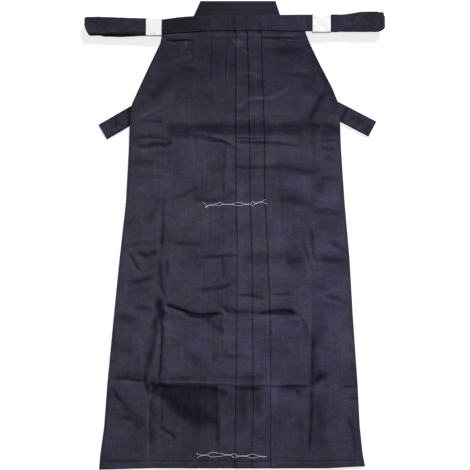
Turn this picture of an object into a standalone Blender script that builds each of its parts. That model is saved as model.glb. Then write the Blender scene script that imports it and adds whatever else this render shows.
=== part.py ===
"""Hakama trousers, laid out flat with the front up.

The floor is z = 0, the origin lies on it under the middle of the garment, the waist points
to +Y and the wearer's left leg is on +X. Lengths in this file are millimetres, and MM turns
them into metres where a mesh is made. Each piece of cloth is one wall, CLOTH thick, through
sections across the leg or along the strip, and keeps GAP to what it lies on.
"""

from collections import namedtuple
from math import cos, exp, hypot, radians, sin

import bpy

MM = 0.001

# Cloth
CLOTH = 1.0          # thickness of one wall
GAP = 0.3            # room between one piece and the next
PITCH = CLOTH + GAP  # from the middle of one layer to the middle of the next
BEND = PITCH / 2     # radius of a folded edge, at the middle of the wall
HALF = CLOTH / 2
TURNS = (-90, -30, 30, 90)  # degrees round a folded edge, from the lower layer to the upper

# Legs
SEAM_HEIGHT = 1.95   # middle of a front panel where it turns down at the side seam
TURN = 0.6           # round of that corner
SLIT_HEM = 1.3       # depth of the narrow hem along the side slit
SLIT_RISE = 6.0      # length over which the slit closes into the seam
PLEAT_FILL = 0.85    # depth of a pleat as a share of the distance to the next one
STACK = 2 * PITCH + 2 * PITCH * PLEAT_FILL + HALF  # from a pleat's edge down to its underside
CREASE_FADE = 14.0   # creases run out over this distance before a seam
HEM_FADE = 50.0      # the uneven cut of the hem is taken up over this length

# Waist
KOSHI_THICK = 4.5
KOSHI_BEVEL = 0.9
KOSHI_FOOT = 434.9
STRAP = 37.0         # width of every tie
FRONT_TIE_LAYERS = 10
TIE_BOTTOM = 2.0     # middle of the lowest folded layer, above the bottom of the wrap
TIE_TOP = TIE_BOTTOM + PITCH * (FRONT_TIE_LAYERS - 1)
WRAP_HEIGHT = 41.5
WRAP_ROUND = 2.0
WRAP_ROOM = 0.4      # more room at the top of a wrap, for its round corners
BAND_DIP = 5.5       # the band falls off a pleat's edge over this width
BAND_SEATED = 92.0   # out to here the band's inner wall lies on the board
BAND_RISE = 16.0     # and over this width it rises to the front panel
BAND_SHORT = 3.0     # the inner wall ends this much higher than the outer one
TIE_LEAN = 0.8       # share of a folded tie's length over which its layers drift apart

# Centre line of the garment, which leans a little
CENTRE_TOP = 5.0
CENTRE_HEM = -1.0
INSEAM = 12.0

Side = namedtuple("Side", "y right left")
SIDES = (
    Side(464.6, 156.5, 153.6),
    Side(438.4, 157.6, 154.5),
    Side(416.6, 161.7, 163.5),
    Side(372.9, 183.6, 185.1),
    Side(320.5, 208.0, 212.6),
    Side(285.6, 223.8, 226.8),
    Side(241.9, 228.6, 229.9),
    Side(180.7, 231.2, 232.5),
    Side(71.5, 237.1, 239.9),
    Side(-50.8, 250.8, 250.6),
    Side(-173.1, 263.1, 257.6),
    Side(-326.0, 277.7, 268.3),
    Side(-417.7, 284.5, 272.9),
    Side(-478.8, 293.2, 279.4),
    Side(-507.2, 295.6, 284.2),
)

# Folded edges of the pleats, as distances outwards from x = 0 on the leg that they are on
Pleats = namedtuple("Pleats", "y right_outer right_inner left_inner left_middle left_outer")
PLEATS = (
    Pleats(464.6, 49.5, 18.2, 2.9, 27.4, 57.1),
    Pleats(338.0, 53.8, 20.9, 2.9, 30.7, 61.3),
    Pleats(206.9, 59.7, 24.4, 2.9, 32.4, 65.2),
    Pleats(75.9, 64.8, 26.8, 2.9, 34.0, 66.1),
    Pleats(6.0, 66.3, 27.4, 5.4, 36.8, 69.8),
    Pleats(-175.3, 71.3, 29.8, 5.0, 39.4, 77.9),
    Pleats(-360.9, 77.6, 32.0, 2.5, 40.7, 78.7),
    Pleats(-507.2, 80.5, 36.4, 0.1, 38.5, 78.7),
)

# Middle of the wall at the pleats' edges, and at the side edge above the foot of the slit
Height = namedtuple("Height", "y pleat side")
HEIGHTS = (
    Height(464.6, 11.5, 12.2),
    Height(434.0, 11.5, 12.2),
    Height(416.0, 10.4, 10.3),
    Height(396.0, 8.8, 8.4),
    Height(370.0, 7.5, 6.6),
    Height(330.0, 6.9, 5.6),
    Height(286.0, 6.8, 5.3),
    Height(70.0, 6.8, 5.3),
    Height(30.0, 8.1, 5.3),
    Height(-168.0, 8.1, 5.3),
    Height(-243.0, 7.5, 5.3),
    Height(-345.0, 7.8, 5.3),
    Height(-430.0, 6.9, 5.3),
    Height(-507.2, 6.7, 5.3),
)

STATIONS = (
    464.6, 441.0, 430.0, 416.0, 396.0, 370.0, 330.0, 286.0, 258.0, 206.0, 190.0, 140.0, 70.0,
    30.0, -40.0, -96.0, -132.0, -146.0, -157.0, -168.0, -179.0, -192.0, -212.0, -243.0, -290.0,
    -306.0, -317.0, -326.0, -335.0, -348.0, -396.0, -453.0, -490.0, -507.2,
)
PANEL_STEPS = (0.0, 0.08, 0.17, 0.25, 0.33, 0.41, 0.49, 0.57, 0.65, 0.73, 0.82, 0.9, 0.96)

# Each leg, with the foot of its slit, its inseam and the board's lower corner on its side
Leg = namedtuple("Leg", "side sign edges slit_foot seam_x board")
RIGHT_LEG = Leg("right", -1, ("right_inner", "right_outer"), 230.0, INSEAM - HALF, 108.7)
LEFT_LEG = Leg("left", 1, ("left_inner", "left_middle", "left_outer"), 244.0,
               INSEAM + HALF + GAP, 118.7)

# Creases left by storage and handling, between two points: ridges, and troughs below zero
Crease = namedtuple("Crease", "x0 y0 x1 y1 rise reach")
CREASES = (
    Crease(-181, -324, 167, -324, 1.3, 9),      # storage fold across the shins
    Crease(-165, -346, -45, -340, -0.9, 14),    # and the hollow under it
    Crease(-269, -310, -199, -318, 0.9, 11),
    Crease(167, 10, 168, -480, -1.1, 13),       # storage fold down the left leg
    Crease(190, 0, 192, -470, 0.7, 17),
    Crease(-156, -70, -158, -302, 1.2, 11),     # storage fold down the right leg
    Crease(-172, -165, -190, -298, 1.0, 11),    # and its second branch
    Crease(-190, -298, -190, -490, 0.7, 13),
    Crease(-152, -152, -105, -166, -1.1, 9),    # handling wrinkle above the knees
    Crease(-105, -166, -29, -167, -0.8, 8),
    Crease(-148, -171, -105, -182, 1.2, 10),
    Crease(-105, -182, -40, -183, 0.9, 10),
    Crease(5, -167, 118, -167, -0.9, 9),
    Crease(5, -183, 125, -184, 0.9, 10),
    Crease(118, -167, 153, -217, -0.8, 10),
    Crease(5, 205, 100, 208, 1.0, 11),          # across the hips
    Crease(-212, 250, -60, 256, 0.9, 15),
    Crease(60, 254, 205, 250, 0.9, 15),
    Crease(-205, 195, -120, 190, -0.8, 10),
)

# How far the hem is cut below its middle line, across the garment
HemDrop = namedtuple("HemDrop", "x drop")
HEM = (HemDrop(-296.0, 3.4), HemDrop(-180.0, -0.4), HemDrop(50.0, 0.0), HemDrop(200.0, 0.0),
       HemDrop(285.0, -4.2))

# Lower and upper edge of the front band
BandEdge = namedtuple("BandEdge", "x low high")
BAND_ENDS = (-158.2, 168.2)
BAND_EDGES = (
    BandEdge(-158.2, 436.3, 468.6),
    BandEdge(-120.0, 439.6, 474.0),
    BandEdge(-88.0, 441.6, 476.8),
    BandEdge(-40.0, 443.6, 478.4),
    BandEdge(24.0, 444.8, 479.2),
    BandEdge(168.2, 442.3, 479.2),
)
BAND_PLAIN = (-158.2, -140.0, -122.0, -106.0, -90.0, -66.0, -33.0, -7.5, 14.0, 40.0, 72.0,
              96.0, 112.0, 128.0, 148.0, 168.2)

# One row for each outer fold of a front tie, top fold first
TieFold = namedtuple("TieFold", "reach drop")
FrontTie = namedtuple("FrontTie", "name sign start wrap_end middle folds tail")
FRONT_TIES = (
    FrontTie("right_front_tie", -1, 159.2, 193.0, 452.4,
             (TieFold(326.2, -6.2), TieFold(323.0, -5.2), TieFold(319.0, -2.4),
              TieFold(291.0, -0.4), TieFold(286.0, 0.0)), 196.0),
    FrontTie("left_front_tie", 1, 169.1, 208.6, 460.6,
             (TieFold(326.2, -9.6), TieFold(324.0, -8.4), TieFold(320.5, -6.0),
              TieFold(325.0, -4.2), TieFold(315.0, -2.0)), 213.0),
)
Wrap = namedtuple("Wrap", "name inner outer middle")
WRAPS = (
    Wrap("right_wrap", -159.4, -192.5, 453.0),
    Wrap("left_wrap", 168.9, 208.2, 460.2),
)

# A back tie: the middle of its folded tip, how steeply it falls, and where its root is sewn
BackTie = namedtuple("BackTie", "name sign tip_x tip_y fall root_x")
BACK_TIES = (
    BackTie("right_back_tie", -1, 288.3, 224.2, 30.0, 107.5),
    BackTie("left_back_tie", 1, 300.8, 230.8, 27.5, 112.0),
)
OVER_BACK = 1.8      # middle of the first layer on a back panel
ON_FLOOR = 0.5 * CLOTH + 0.05
ReturnPoint = namedtuple("ReturnPoint", "before_tip lower")
BACK_TIE_RUN = (     # distances before the tip, and height of the lower of its two layers
    ReturnPoint(150.0, OVER_BACK),
    ReturnPoint(100.0, OVER_BACK),
    ReturnPoint(56.0, OVER_BACK),
    ReturnPoint(36.0, ON_FLOOR),
    ReturnPoint(1.8, ON_FLOOR),
)
CREASE_ROOM = 37.0   # from the fold at the root to the first straight rung of the tie

MACHI = ((0.0, 28.0), (50.0, -60.0), (0.0, -162.0), (-50.0, -60.0))
KOSHI_ITA = ((-74.6, 510.2), (89.2, 510.2), (99.0, 479.9), (LEFT_LEG.board, KOSHI_FOOT),
             (-RIGHT_LEG.board, KOSHI_FOOT), (-88.3, 479.9))

NAVY = (0.026, 0.024, 0.044)
NAVY_BACK = (0.022, 0.020, 0.038)
BOARD_NAVY = (0.024, 0.022, 0.040)
PAPER = (0.80, 0.79, 0.77)


def blend(table, column, y):
    """Value of a column at y, straight between the rows of a table that falls in y."""
    if y >= table[0].y:
        return getattr(table[0], column)
    for upper, lower in zip(table, table[1:]):
        if y >= lower.y:
            share = (upper.y - y) / (upper.y - lower.y)
            return getattr(upper, column) * (1 - share) + getattr(lower, column) * share
    return getattr(table[-1], column)


def across(table, column, x):
    """Value of a column at x, straight between the rows of a table that rises in x."""
    if x <= table[0].x:
        return getattr(table[0], column)
    for low, high in zip(table, table[1:]):
        if x <= high.x:
            share = (x - low.x) / (high.x - low.x)
            return getattr(low, column) * (1 - share) + getattr(high, column) * share
    return getattr(table[-1], column)


def ease(share):
    """A smooth step from 0 to 1."""
    share = min(max(share, 0.0), 1.0)
    return share * share * (3 - 2 * share)


def crease_rise(x, y):
    """Height of the creases over a point of the front."""
    ridge = 0.0
    trough = 0.0
    for crease in CREASES:
        along_x = crease.x1 - crease.x0
        along_y = crease.y1 - crease.y0
        length = along_x ** 2 + along_y ** 2
        share = ((x - crease.x0) * along_x + (y - crease.y0) * along_y) / length
        share = min(max(share, 0.0), 1.0)
        away = hypot(x - crease.x0 - share * along_x, y - crease.y0 - share * along_y)
        rise = crease.rise * exp(-(away / crease.reach) ** 2)
        ridge = max(ridge, rise)
        trough = min(trough, rise)
    return ridge + trough


def hem_drop(x, y):
    """How far a point near the hem is moved down, for the uneven cut of the hem."""
    above_hem = y - SIDES[-1].y
    return across(HEM, "drop", x) * ease(1 - above_hem / HEM_FADE)


def leg_stations(leg):
    """The y of each section of a leg, with one on each side of the slit's foot."""
    slit = (leg.slit_foot, leg.slit_foot - SLIT_RISE)
    return sorted(STATIONS + slit, reverse=True)


def fold(u, z, bulge):
    """Points round a folded edge from its lower to its upper layer; bulge is +1 outwards."""
    return [(u + bulge * BEND * cos(radians(turn)), z + BEND * sin(radians(turn)))
            for turn in TURNS]


def pleat_edges(leg, y):
    """Where a leg's pleats have their folded edges, from the inseam outwards."""
    return [blend(PLEATS, edge, y) for edge in leg.edges]


def pleat_fall(edges, index):
    """Slope and depth of one pleat, from the distance to the next one outwards."""
    last = len(edges) - 1
    if index < last:
        spacing = edges[index + 1] - edges[index]
    else:
        spacing = edges[last] - edges[last - 1]
    return 2 * PITCH / spacing, PLEAT_FILL * spacing


def side_height(leg, y):
    """Height of the front panel's side edge, and of the bottom of its turned-down hem."""
    if y < leg.slit_foot:
        return SEAM_HEIGHT, 0.0
    height = blend(HEIGHTS, "side", y)
    return height, height - SLIT_HEM


def panel_height(leg, y, u):
    """Height of the outer panel, from its pleat out to the side edge."""
    edges = pleat_edges(leg, y)
    slope, depth = pleat_fall(edges, len(edges) - 1)
    top = blend(HEIGHTS, "pleat", y)
    start = edges[-1] + depth
    if u <= start:
        return top - slope * (u - edges[-1])
    side = blend(SIDES, leg.side, y)
    share = min((u - start) / (side - start), 1.0)
    edge = side_height(leg, y)[0]
    return edge + (top - slope * depth - edge) * (1 - share ** 2)


def inner_strip(leg, y):
    """The start of a section: the inseam's turned-down edge and the strip beside it."""
    top = blend(HEIGHTS, "pleat", y)
    rim = top - STACK
    flap = blend(PLEATS, "left_inner", y)
    left_edges = pleat_edges(LEFT_LEG, y)
    slope = pleat_fall(left_edges, 0)[0]
    strip = top - 2 * PITCH
    seam_u = leg.sign * leg.seam_x
    under_flap = strip - slope * (leg.seam_x - flap)
    points = [(seam_u, rim), (seam_u, under_flap)]
    if leg is RIGHT_LEG:
        points.append((-flap, strip))
    return points


def front_section(leg, y):
    """One section across a front panel, from the inseam outwards, as (u, z)."""
    top = blend(HEIGHTS, "pleat", y)
    edges = pleat_edges(leg, y)
    points = inner_strip(leg, y)
    for index, edge in enumerate(edges):
        slope, depth = pleat_fall(edges, index)
        if leg is RIGHT_LEG or index > 0:
            points.append((edge, top - 2 * PITCH))
        fall = slope * depth
        points += fold(edge + depth, top - 1.5 * PITCH - fall, 1)
        points += fold(edge + HALF + BEND, top - BEND, -1)
    slope, depth = pleat_fall(edges, len(edges) - 1)
    side = blend(SIDES, leg.side, y)
    start = edges[-1] + depth
    for step in PANEL_STEPS:
        u = start + step * (side - start)
        points.append((u, panel_height(leg, y, u)))
    height, rim = side_height(leg, y)
    points.append((side - HALF - TURN, height))
    points.append((side - HALF, height - TURN))
    points.append((side - HALF, rim))
    return points


def front_rows(leg):
    """All sections of a front panel, from the waist down to the hem."""
    rows = []
    for y in leg_stations(leg):
        side = blend(SIDES, leg.side, y)
        row = []
        for u, z in front_section(leg, y):
            x = leg.sign * u
            rise = crease_rise(x, y) * ease((side - u - HALF - TURN) / CREASE_FADE)
            row.append((x, y - hem_drop(x, y), z + rise))
        rows.append(row)
    return rows


def material(name, colour, roughness):
    """A plain cloth or paper finish."""
    made = bpy.data.materials.new(name)
    made.use_nodes = True
    shader = made.node_tree.nodes["Principled BSDF"]
    shader.inputs["Base Color"].default_value = (*colour, 1.0)
    shader.inputs["Roughness"].default_value = roughness
    shader.inputs["Metallic"].default_value = 0.0
    made.diffuse_color = (*colour, 1.0)
    return made


def link(name, data, colour, roughness):
    """One piece of the garment, with its own material."""
    piece = bpy.data.objects.new(name, data)
    data.materials.append(material(name, colour, roughness))
    GARMENT.objects.link(piece)
    return piece


def cloth(name, rows, colour, closed=False, roughness=0.9):
    """A wall of cloth through rows of points; closed joins each row's end to its start."""
    width = len(rows[0])
    steps = width if closed else width - 1
    points = [tuple(value * MM for value in point) for row in rows for point in row]
    faces = []
    for row in range(len(rows) - 1):
        for step in range(steps):
            here = row * width + step
            beside = row * width + (step + 1) % width
            faces.append((here, beside, beside + width, here + width))
    mesh = bpy.data.meshes.new(name)
    mesh.from_pydata(points, [], faces)
    mesh.shade_smooth()
    mesh.set_sharp_from_angle(angle=radians(50))
    piece = link(name, mesh, colour, roughness)
    wall = piece.modifiers.new("Wall", "SOLIDIFY")
    wall.thickness = CLOTH * MM
    wall.offset = 0
    wall.use_even_offset = True
    wall.use_quality_normals = True
    return piece


def flat_piece(name, outline, low, thick, colour, bevel=0.0):
    """A flat piece of the given outline, from the height low upwards."""
    curve = bpy.data.curves.new(name, "CURVE")
    curve.dimensions = "2D"
    curve.fill_mode = "BOTH"
    curve.extrude = thick / 2 * MM
    spline = curve.splines.new("POLY")
    spline.points.add(len(outline) - 1)
    for point, (x, y) in zip(spline.points, outline):
        point.co = (x * MM, y * MM, 0.0, 1.0)
    spline.use_cyclic_u = True
    piece = link(name, curve, colour, 0.9)
    piece.location.z = (low + thick / 2) * MM
    weld = piece.modifiers.new("Weld", "WELD")
    weld.merge_threshold = 0.00005
    if bevel:
        edge = piece.modifiers.new("Edge", "BEVEL")
        edge.width = bevel * MM
        edge.segments = 2
        edge.limit_method = "ANGLE"
        edge.angle_limit = radians(60)
    return piece


def back_outline(leg):
    """Outline of a back panel, inside the side seam and the slit of the front one."""
    inset = CLOTH + GAP
    top = KOSHI_FOOT - GAP
    foot = leg.slit_foot - SLIT_RISE
    outline = [(leg.sign * leg.board, top)]
    for y in leg_stations(leg):
        if y <= foot:
            outline.append((leg.sign * (blend(SIDES, leg.side, y) - inset), y))
    outline.append((CENTRE_HEM + leg.sign * GAP / 2, SIDES[-1].y))
    outline = [(x, y - hem_drop(x, y)) for x, y in outline]
    outline.append((CENTRE_TOP + leg.sign * GAP / 2, top))
    return outline


def front_height(x, y):
    """Height of the uppermost front layer over a place near the waist."""
    if x < PLEATS[0].left_inner:
        leg = RIGHT_LEG
    else:
        leg = LEFT_LEG
    u = leg.sign * x
    edges = pleat_edges(leg, y)
    top = blend(HEIGHTS, "pleat", y)
    if u < edges[0]:
        return top - 2 * PITCH
    for index, edge in enumerate(edges[:-1]):
        if u < edges[index + 1]:
            return top - pleat_fall(edges, index)[0] * (u - edge)
    return panel_height(leg, y, u)


def band_columns():
    """Places along the front band with the height of its outer wall there."""
    y = SIDES[0].y
    top = blend(HEIGHTS, "pleat", y)
    columns = [(x, front_height(x, y) + PITCH + GAP) for x in BAND_PLAIN]
    for leg in (RIGHT_LEG, LEFT_LEG):
        for edge in pleat_edges(leg, y):
            ridge = leg.sign * (edge - HALF)
            valley = leg.sign * (edge - BAND_DIP)
            columns.append((ridge, top + PITCH + GAP / 2))
            columns.append((valley, front_height(valley, y) + PITCH + GAP))
    return sorted(columns)


def band_rows():
    """The front band: a strip folded over the top edge of the pleated fronts."""
    y = SIDES[0].y
    seat = KOSHI_THICK + GAP + HALF
    rows = []
    for x, outer in band_columns():
        low = across(BAND_EDGES, "low", x)
        high = across(BAND_EDGES, "high", x)
        free = ease((abs(x) - BAND_SEATED) / BAND_RISE)
        inner = seat + free * (front_height(x, y) - SLIT_HEM - GAP - HALF - seat)
        bend = (outer - inner) / 2
        centre_y = high - HALF - bend
        centre_z = (outer + inner) / 2
        row = [(x, low, outer), (x, (low + centre_y) / 2, outer)]
        for turn in (90, 45, 0, -45, -90):
            row.append((x, centre_y + bend * cos(radians(turn)),
                        centre_z + bend * sin(radians(turn))))
        row.append((x, low + BAND_SHORT, inner))
        rows.append(row)
    return rows


def rung(x, y, z):
    """Three points across a front tie."""
    return [(x, y + STRAP / 2, z), (x, y, z), (x, y - STRAP / 2, z)]


def front_tie_rows(tie):
    """A front tie folded to and fro, from the band's end down to its free end."""
    rows = []
    for layer in range(FRONT_TIE_LAYERS):
        z = TIE_TOP - layer * PITCH
        outer = tie.folds[layer // 2]
        reach = outer.reach - HALF - BEND
        last = layer == FRONT_TIE_LAYERS - 1
        start = tie.start + HALF + BEND if layer else tie.start
        stops = [start, tie.wrap_end, (tie.wrap_end + reach) / 2, reach]
        if last:
            stops = [tie.tail, (tie.tail + reach) / 2, reach]
        lean = TIE_LEAN * (reach - tie.wrap_end)
        stops = [(u, ease((u - tie.wrap_end) / lean)) for u in stops]
        if layer % 2:
            stops.reverse()
        for u, share in stops:
            rows.append(rung(tie.sign * u, tie.middle - share * outer.drop, z))
        if last:
            break
        u, share = stops[-1]
        bulge = -1 if layer % 2 else 1
        for turn in reversed(TURNS[1:-1]):
            rows.append(rung(tie.sign * (u + bulge * BEND * cos(radians(turn))),
                             tie.middle - share * outer.drop,
                             z - BEND + BEND * sin(radians(turn))))
    return rows


def wrap_rows(wrap):
    """A paper wrap: a loop round the folded tie, along x."""
    half = WRAP_HEIGHT / 2 - HALF - WRAP_ROUND
    low = HALF + WRAP_ROUND
    high = TIE_TOP + PITCH + WRAP_ROOM - WRAP_ROUND
    loop = []
    for y, z, first in ((half, high, 0), (-half, high, 90), (-half, low, 180), (half, low, 270)):
        for turn in (first, first + 45, first + 90):
            loop.append((wrap.middle + y + WRAP_ROUND * cos(radians(turn)),
                         z + WRAP_ROUND * sin(radians(turn))))
    middle = (wrap.inner + wrap.outer) / 2
    return [[(x, y, z) for y, z in loop] for x in (wrap.inner, middle, wrap.outer)]


def back_tie_rows(tie):
    """A back tie: down from its root, folded over, out through the slit and back again."""
    out_x = tie.sign * cos(radians(tie.fall))
    out_y = -sin(radians(tie.fall))
    half = STRAP / 2
    run = (tie.tip_x - tie.root_x) / cos(radians(tie.fall))
    corner_y = tie.tip_y + run * sin(radians(tie.fall))
    root_x = tie.sign * tie.root_x
    length = hypot(out_x, out_y - 1)
    fold_x = out_x / length
    fold_y = (out_y - 1) / length
    along = half / abs(fold_x)
    lower = (root_x + along * fold_x, corner_y + along * fold_y)
    upper = (root_x - along * fold_x, corner_y - along * fold_y)
    away = (tie.sign * fold_y, -tie.sign * fold_x)

    def straight(before_tip, z):
        """The tie's two edges, some way before its tip."""
        x = tie.sign * tie.tip_x - before_tip * out_x
        y = tie.tip_y - before_tip * out_y
        side = (tie.sign * out_y * half, -tie.sign * out_x * half)
        return [(x + side[0], y + side[1], z), (x - side[0], y - side[1], z)]

    top_y = KOSHI_FOOT - GAP
    rows = [[(root_x + tie.sign * half, top_y, OVER_BACK),
             (root_x - tie.sign * half, top_y, OVER_BACK)]]
    for turn in TURNS:
        off = BEND * cos(radians(turn))
        z = OVER_BACK + BEND + BEND * sin(radians(turn))
        rows.append([(x + off * away[0], y + off * away[1], z) for x, y in (lower, upper)])
    rows.append(straight(run - CREASE_ROOM, OVER_BACK + PITCH))
    for point in BACK_TIE_RUN[1:]:
        rows.append(straight(point.before_tip, point.lower + PITCH))
    tip = BACK_TIE_RUN[-1]
    for turn in reversed(TURNS[1:-1]):
        rows.append(straight(tip.before_tip - BEND * cos(radians(turn)),
                             tip.lower + BEND + BEND * sin(radians(turn))))
    for point in reversed(BACK_TIE_RUN):
        rows.append(straight(point.before_tip, point.lower))
    return rows


for old in list(bpy.data.objects):
    bpy.data.objects.remove(old, do_unlink=True)
GARMENT = bpy.data.collections.new("hakama_trousers")
bpy.context.scene.collection.children.link(GARMENT)

for one_leg in (RIGHT_LEG, LEFT_LEG):
    flat_piece(one_leg.side + "_back", back_outline(one_leg), 0.0, CLOTH, NAVY_BACK)
    cloth(one_leg.side + "_front", front_rows(one_leg), NAVY)
flat_piece("machi", MACHI, PITCH, CLOTH, NAVY_BACK)
flat_piece("koshi_ita", KOSHI_ITA, 0.0, KOSHI_THICK, BOARD_NAVY, KOSHI_BEVEL)
cloth("front_band", band_rows(), BOARD_NAVY)
for front_tie in FRONT_TIES:
    cloth(front_tie.name, front_tie_rows(front_tie), NAVY)
for paper in WRAPS:
    cloth(paper.name, wrap_rows(paper), PAPER, closed=True, roughness=0.7)
for back_tie in BACK_TIES:
    cloth(back_tie.name, back_tie_rows(back_tie), NAVY)
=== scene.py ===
"""Looks of the hakama trousers, which lie flat with the front up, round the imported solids.

Lengths are millimetres in the solids' own frame, and MM turns them into metres where a mesh
is made. Each piece of cloth is a thin shell through the same sections as its solid. On the
fronts the folds and wrinkles are moved into every layer together, so the pleats stay apart.
"""

from collections import namedtuple
from functools import partial, reduce
from math import atan, cos, degrees, hypot, pi, radians, sin

import bpy
import numpy as np
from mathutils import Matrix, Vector, noise
from mathutils.bvhtree import BVHTree


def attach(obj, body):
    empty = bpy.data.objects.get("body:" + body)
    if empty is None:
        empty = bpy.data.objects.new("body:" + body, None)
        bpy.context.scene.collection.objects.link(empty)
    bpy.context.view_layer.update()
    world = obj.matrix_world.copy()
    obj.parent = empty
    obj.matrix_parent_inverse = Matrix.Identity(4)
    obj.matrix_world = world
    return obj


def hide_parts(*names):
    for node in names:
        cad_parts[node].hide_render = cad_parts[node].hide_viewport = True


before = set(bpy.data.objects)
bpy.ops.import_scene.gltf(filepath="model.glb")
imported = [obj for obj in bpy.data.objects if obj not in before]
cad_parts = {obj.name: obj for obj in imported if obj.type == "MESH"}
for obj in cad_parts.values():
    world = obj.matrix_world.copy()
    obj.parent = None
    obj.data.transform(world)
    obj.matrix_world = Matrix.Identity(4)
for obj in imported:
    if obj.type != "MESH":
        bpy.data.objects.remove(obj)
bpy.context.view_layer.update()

MM = 0.001
BODY = "root"

# Layers of cloth, as in the solids
CLOTH = 1.0
GAP = 0.3
PITCH = CLOTH + GAP
BEND = PITCH / 2
HALF = CLOTH / 2
SHELL = 0.8                       # thickness of the cloth that is shown
HIDDEN_TURNS = (-90, -45, 0, 45, 90)
SHOWN_TURNS = (-90, -60, -30, 0, 30, 60, 90)
TIE_TURNS = (60, 30, 0, -30, -60)
BAND_TURNS = (90, 70, 45, 20, 0, -20, -45, -70, -90)

# Legs
SEAM_HEIGHT = 1.95
TURN = 0.6
SLIT_HEM = 1.3
SLIT_RISE = 6.0
SLIT_SOFT = 34.0                  # the cloth comes down over this length below the slit
PLEAT_FILL = 0.85
STACK = 2 * PITCH + 2 * PITCH * PLEAT_FILL + HALF
HEM_FADE = 50.0
HEM_Y = -507.2
WAIST_Y = 464.6
CENTRE_TOP = 5.0
CENTRE_HEM = -1.0
INSEAM = 12.0

# Steps across the shown and the hidden strips of a section, and from section to section
STRIP_STEPS = 9
HIDDEN_STEPS = 4
FOCUS_HALF = 11.0                 # a storage fold gets finer steps this far on each side
FOCUS_STEPS = 12
INNER_STEPS = 17
OUTER_STEPS = 30
ROW_STEP = 3.4
FINE_ROW_STEP = 1.7
EDGE_ROW_STEP = 0.85
EDGE_ROWS = (448.0, 434.0)        # where the band's lower edge lies
FINE_ROWS = ((437.0, 416.0), (219.0, 198.0), (-156.0, -178.0), (-317.0, -337.0), (-486.0, -500.0))

# Waist
KOSHI_THICK = 4.5
KOSHI_FOOT = 434.9
STRAP = 37.0
FRONT_TIE_LAYERS = 10
TIE_TOP = 2.0 + PITCH * (FRONT_TIE_LAYERS - 1)
TIE_LEAN = 0.8
TIE_END = 326.2
WRAP_HEIGHT = 41.5
WRAP_ROUND = 2.0
WRAP_ROOM = 0.4
BAND_ENDS = (-158.2, 168.2)
BAND_DIP = 5.5
BAND_SEATED = 92.0
BAND_RISE = 16.0
BAND_SHORT = 3.0
BAND_PLAIN = (-158.2, -140.0, -122.0, -106.0, -90.0, -66.0, -33.0, -7.5, 14.0, 40.0, 72.0,
              96.0, 112.0, 128.0, 148.0, 168.2)      # places between the pleats


def named_rows(columns, *rows):
    """A table with named columns. One that is looked up by place rises in its first column."""
    row_type = namedtuple("Row", columns)
    return [row_type(*row) for row in rows]


# Side edges, as distances outwards from x = 0
SIDES = named_rows(
    "y right left",
    (-507.2, 295.6, 284.2), (-478.8, 293.2, 279.4), (-417.7, 284.5, 272.9),
    (-326.0, 277.7, 268.3), (-173.1, 263.1, 257.6), (-50.8, 250.8, 250.6), (71.5, 237.1, 239.9),
    (180.7, 231.2, 232.5), (241.9, 228.6, 229.9), (285.6, 223.8, 226.8), (320.5, 208.0, 212.6),
    (372.9, 183.6, 185.1), (416.6, 161.7, 163.5), (438.4, 157.6, 154.5), (464.6, 156.5, 153.6))

# Folded edges of the pleats, as distances outwards from x = 0 on the leg that they are on
PLEATS = named_rows(
    "y right_outer right_inner left_inner left_middle left_outer",
    (-507.2, 80.5, 36.4, 0.1, 38.5, 78.7), (-360.9, 77.6, 32.0, 2.5, 40.7, 78.7),
    (-175.3, 71.3, 29.8, 5.0, 39.4, 77.9), (6.0, 66.3, 27.4, 5.4, 36.8, 69.8),
    (75.9, 64.8, 26.8, 2.9, 34.0, 66.1), (206.9, 59.7, 24.4, 2.9, 32.4, 65.2),
    (338.0, 53.8, 20.9, 2.9, 30.7, 61.3), (464.6, 49.5, 18.2, 2.9, 27.4, 57.1))

# Middle of the wall at the pleats' edges, and at the side edge above the foot of the slit
HEIGHTS = named_rows(
    "y pleat side",
    (-507.2, 6.7, 5.3), (-430.0, 6.9, 5.3), (-345.0, 7.8, 5.3), (-243.0, 7.5, 5.3),
    (-168.0, 8.1, 5.3), (30.0, 8.1, 5.3), (70.0, 6.8, 5.3), (286.0, 6.8, 5.3), (330.0, 6.9, 5.6),
    (370.0, 7.5, 6.6), (396.0, 8.8, 8.4), (416.0, 10.4, 10.3), (434.0, 11.5, 12.2),
    (464.6, 11.5, 12.2))

# Each leg, with the foot of its slit, its inseam, the board's corner and where its folds run
Leg = namedtuple("Leg", "side sign edges slit_foot seam_x board focus")
RIGHT_LEG = Leg("right", -1, ("right_inner", "right_outer"), 230.0, INSEAM - HALF, 108.7,
                named_rows("y x", (-350.0, 190.0), (-290.0, 160.0)))
LEFT_LEG = Leg("left", 1, ("left_inner", "left_middle", "left_outer"), 244.0,
               INSEAM + HALF + GAP, 118.7, named_rows("y x", (-400.0, 170.0), (0.0, 168.0)))
LEGS = (RIGHT_LEG, LEFT_LEG)

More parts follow.
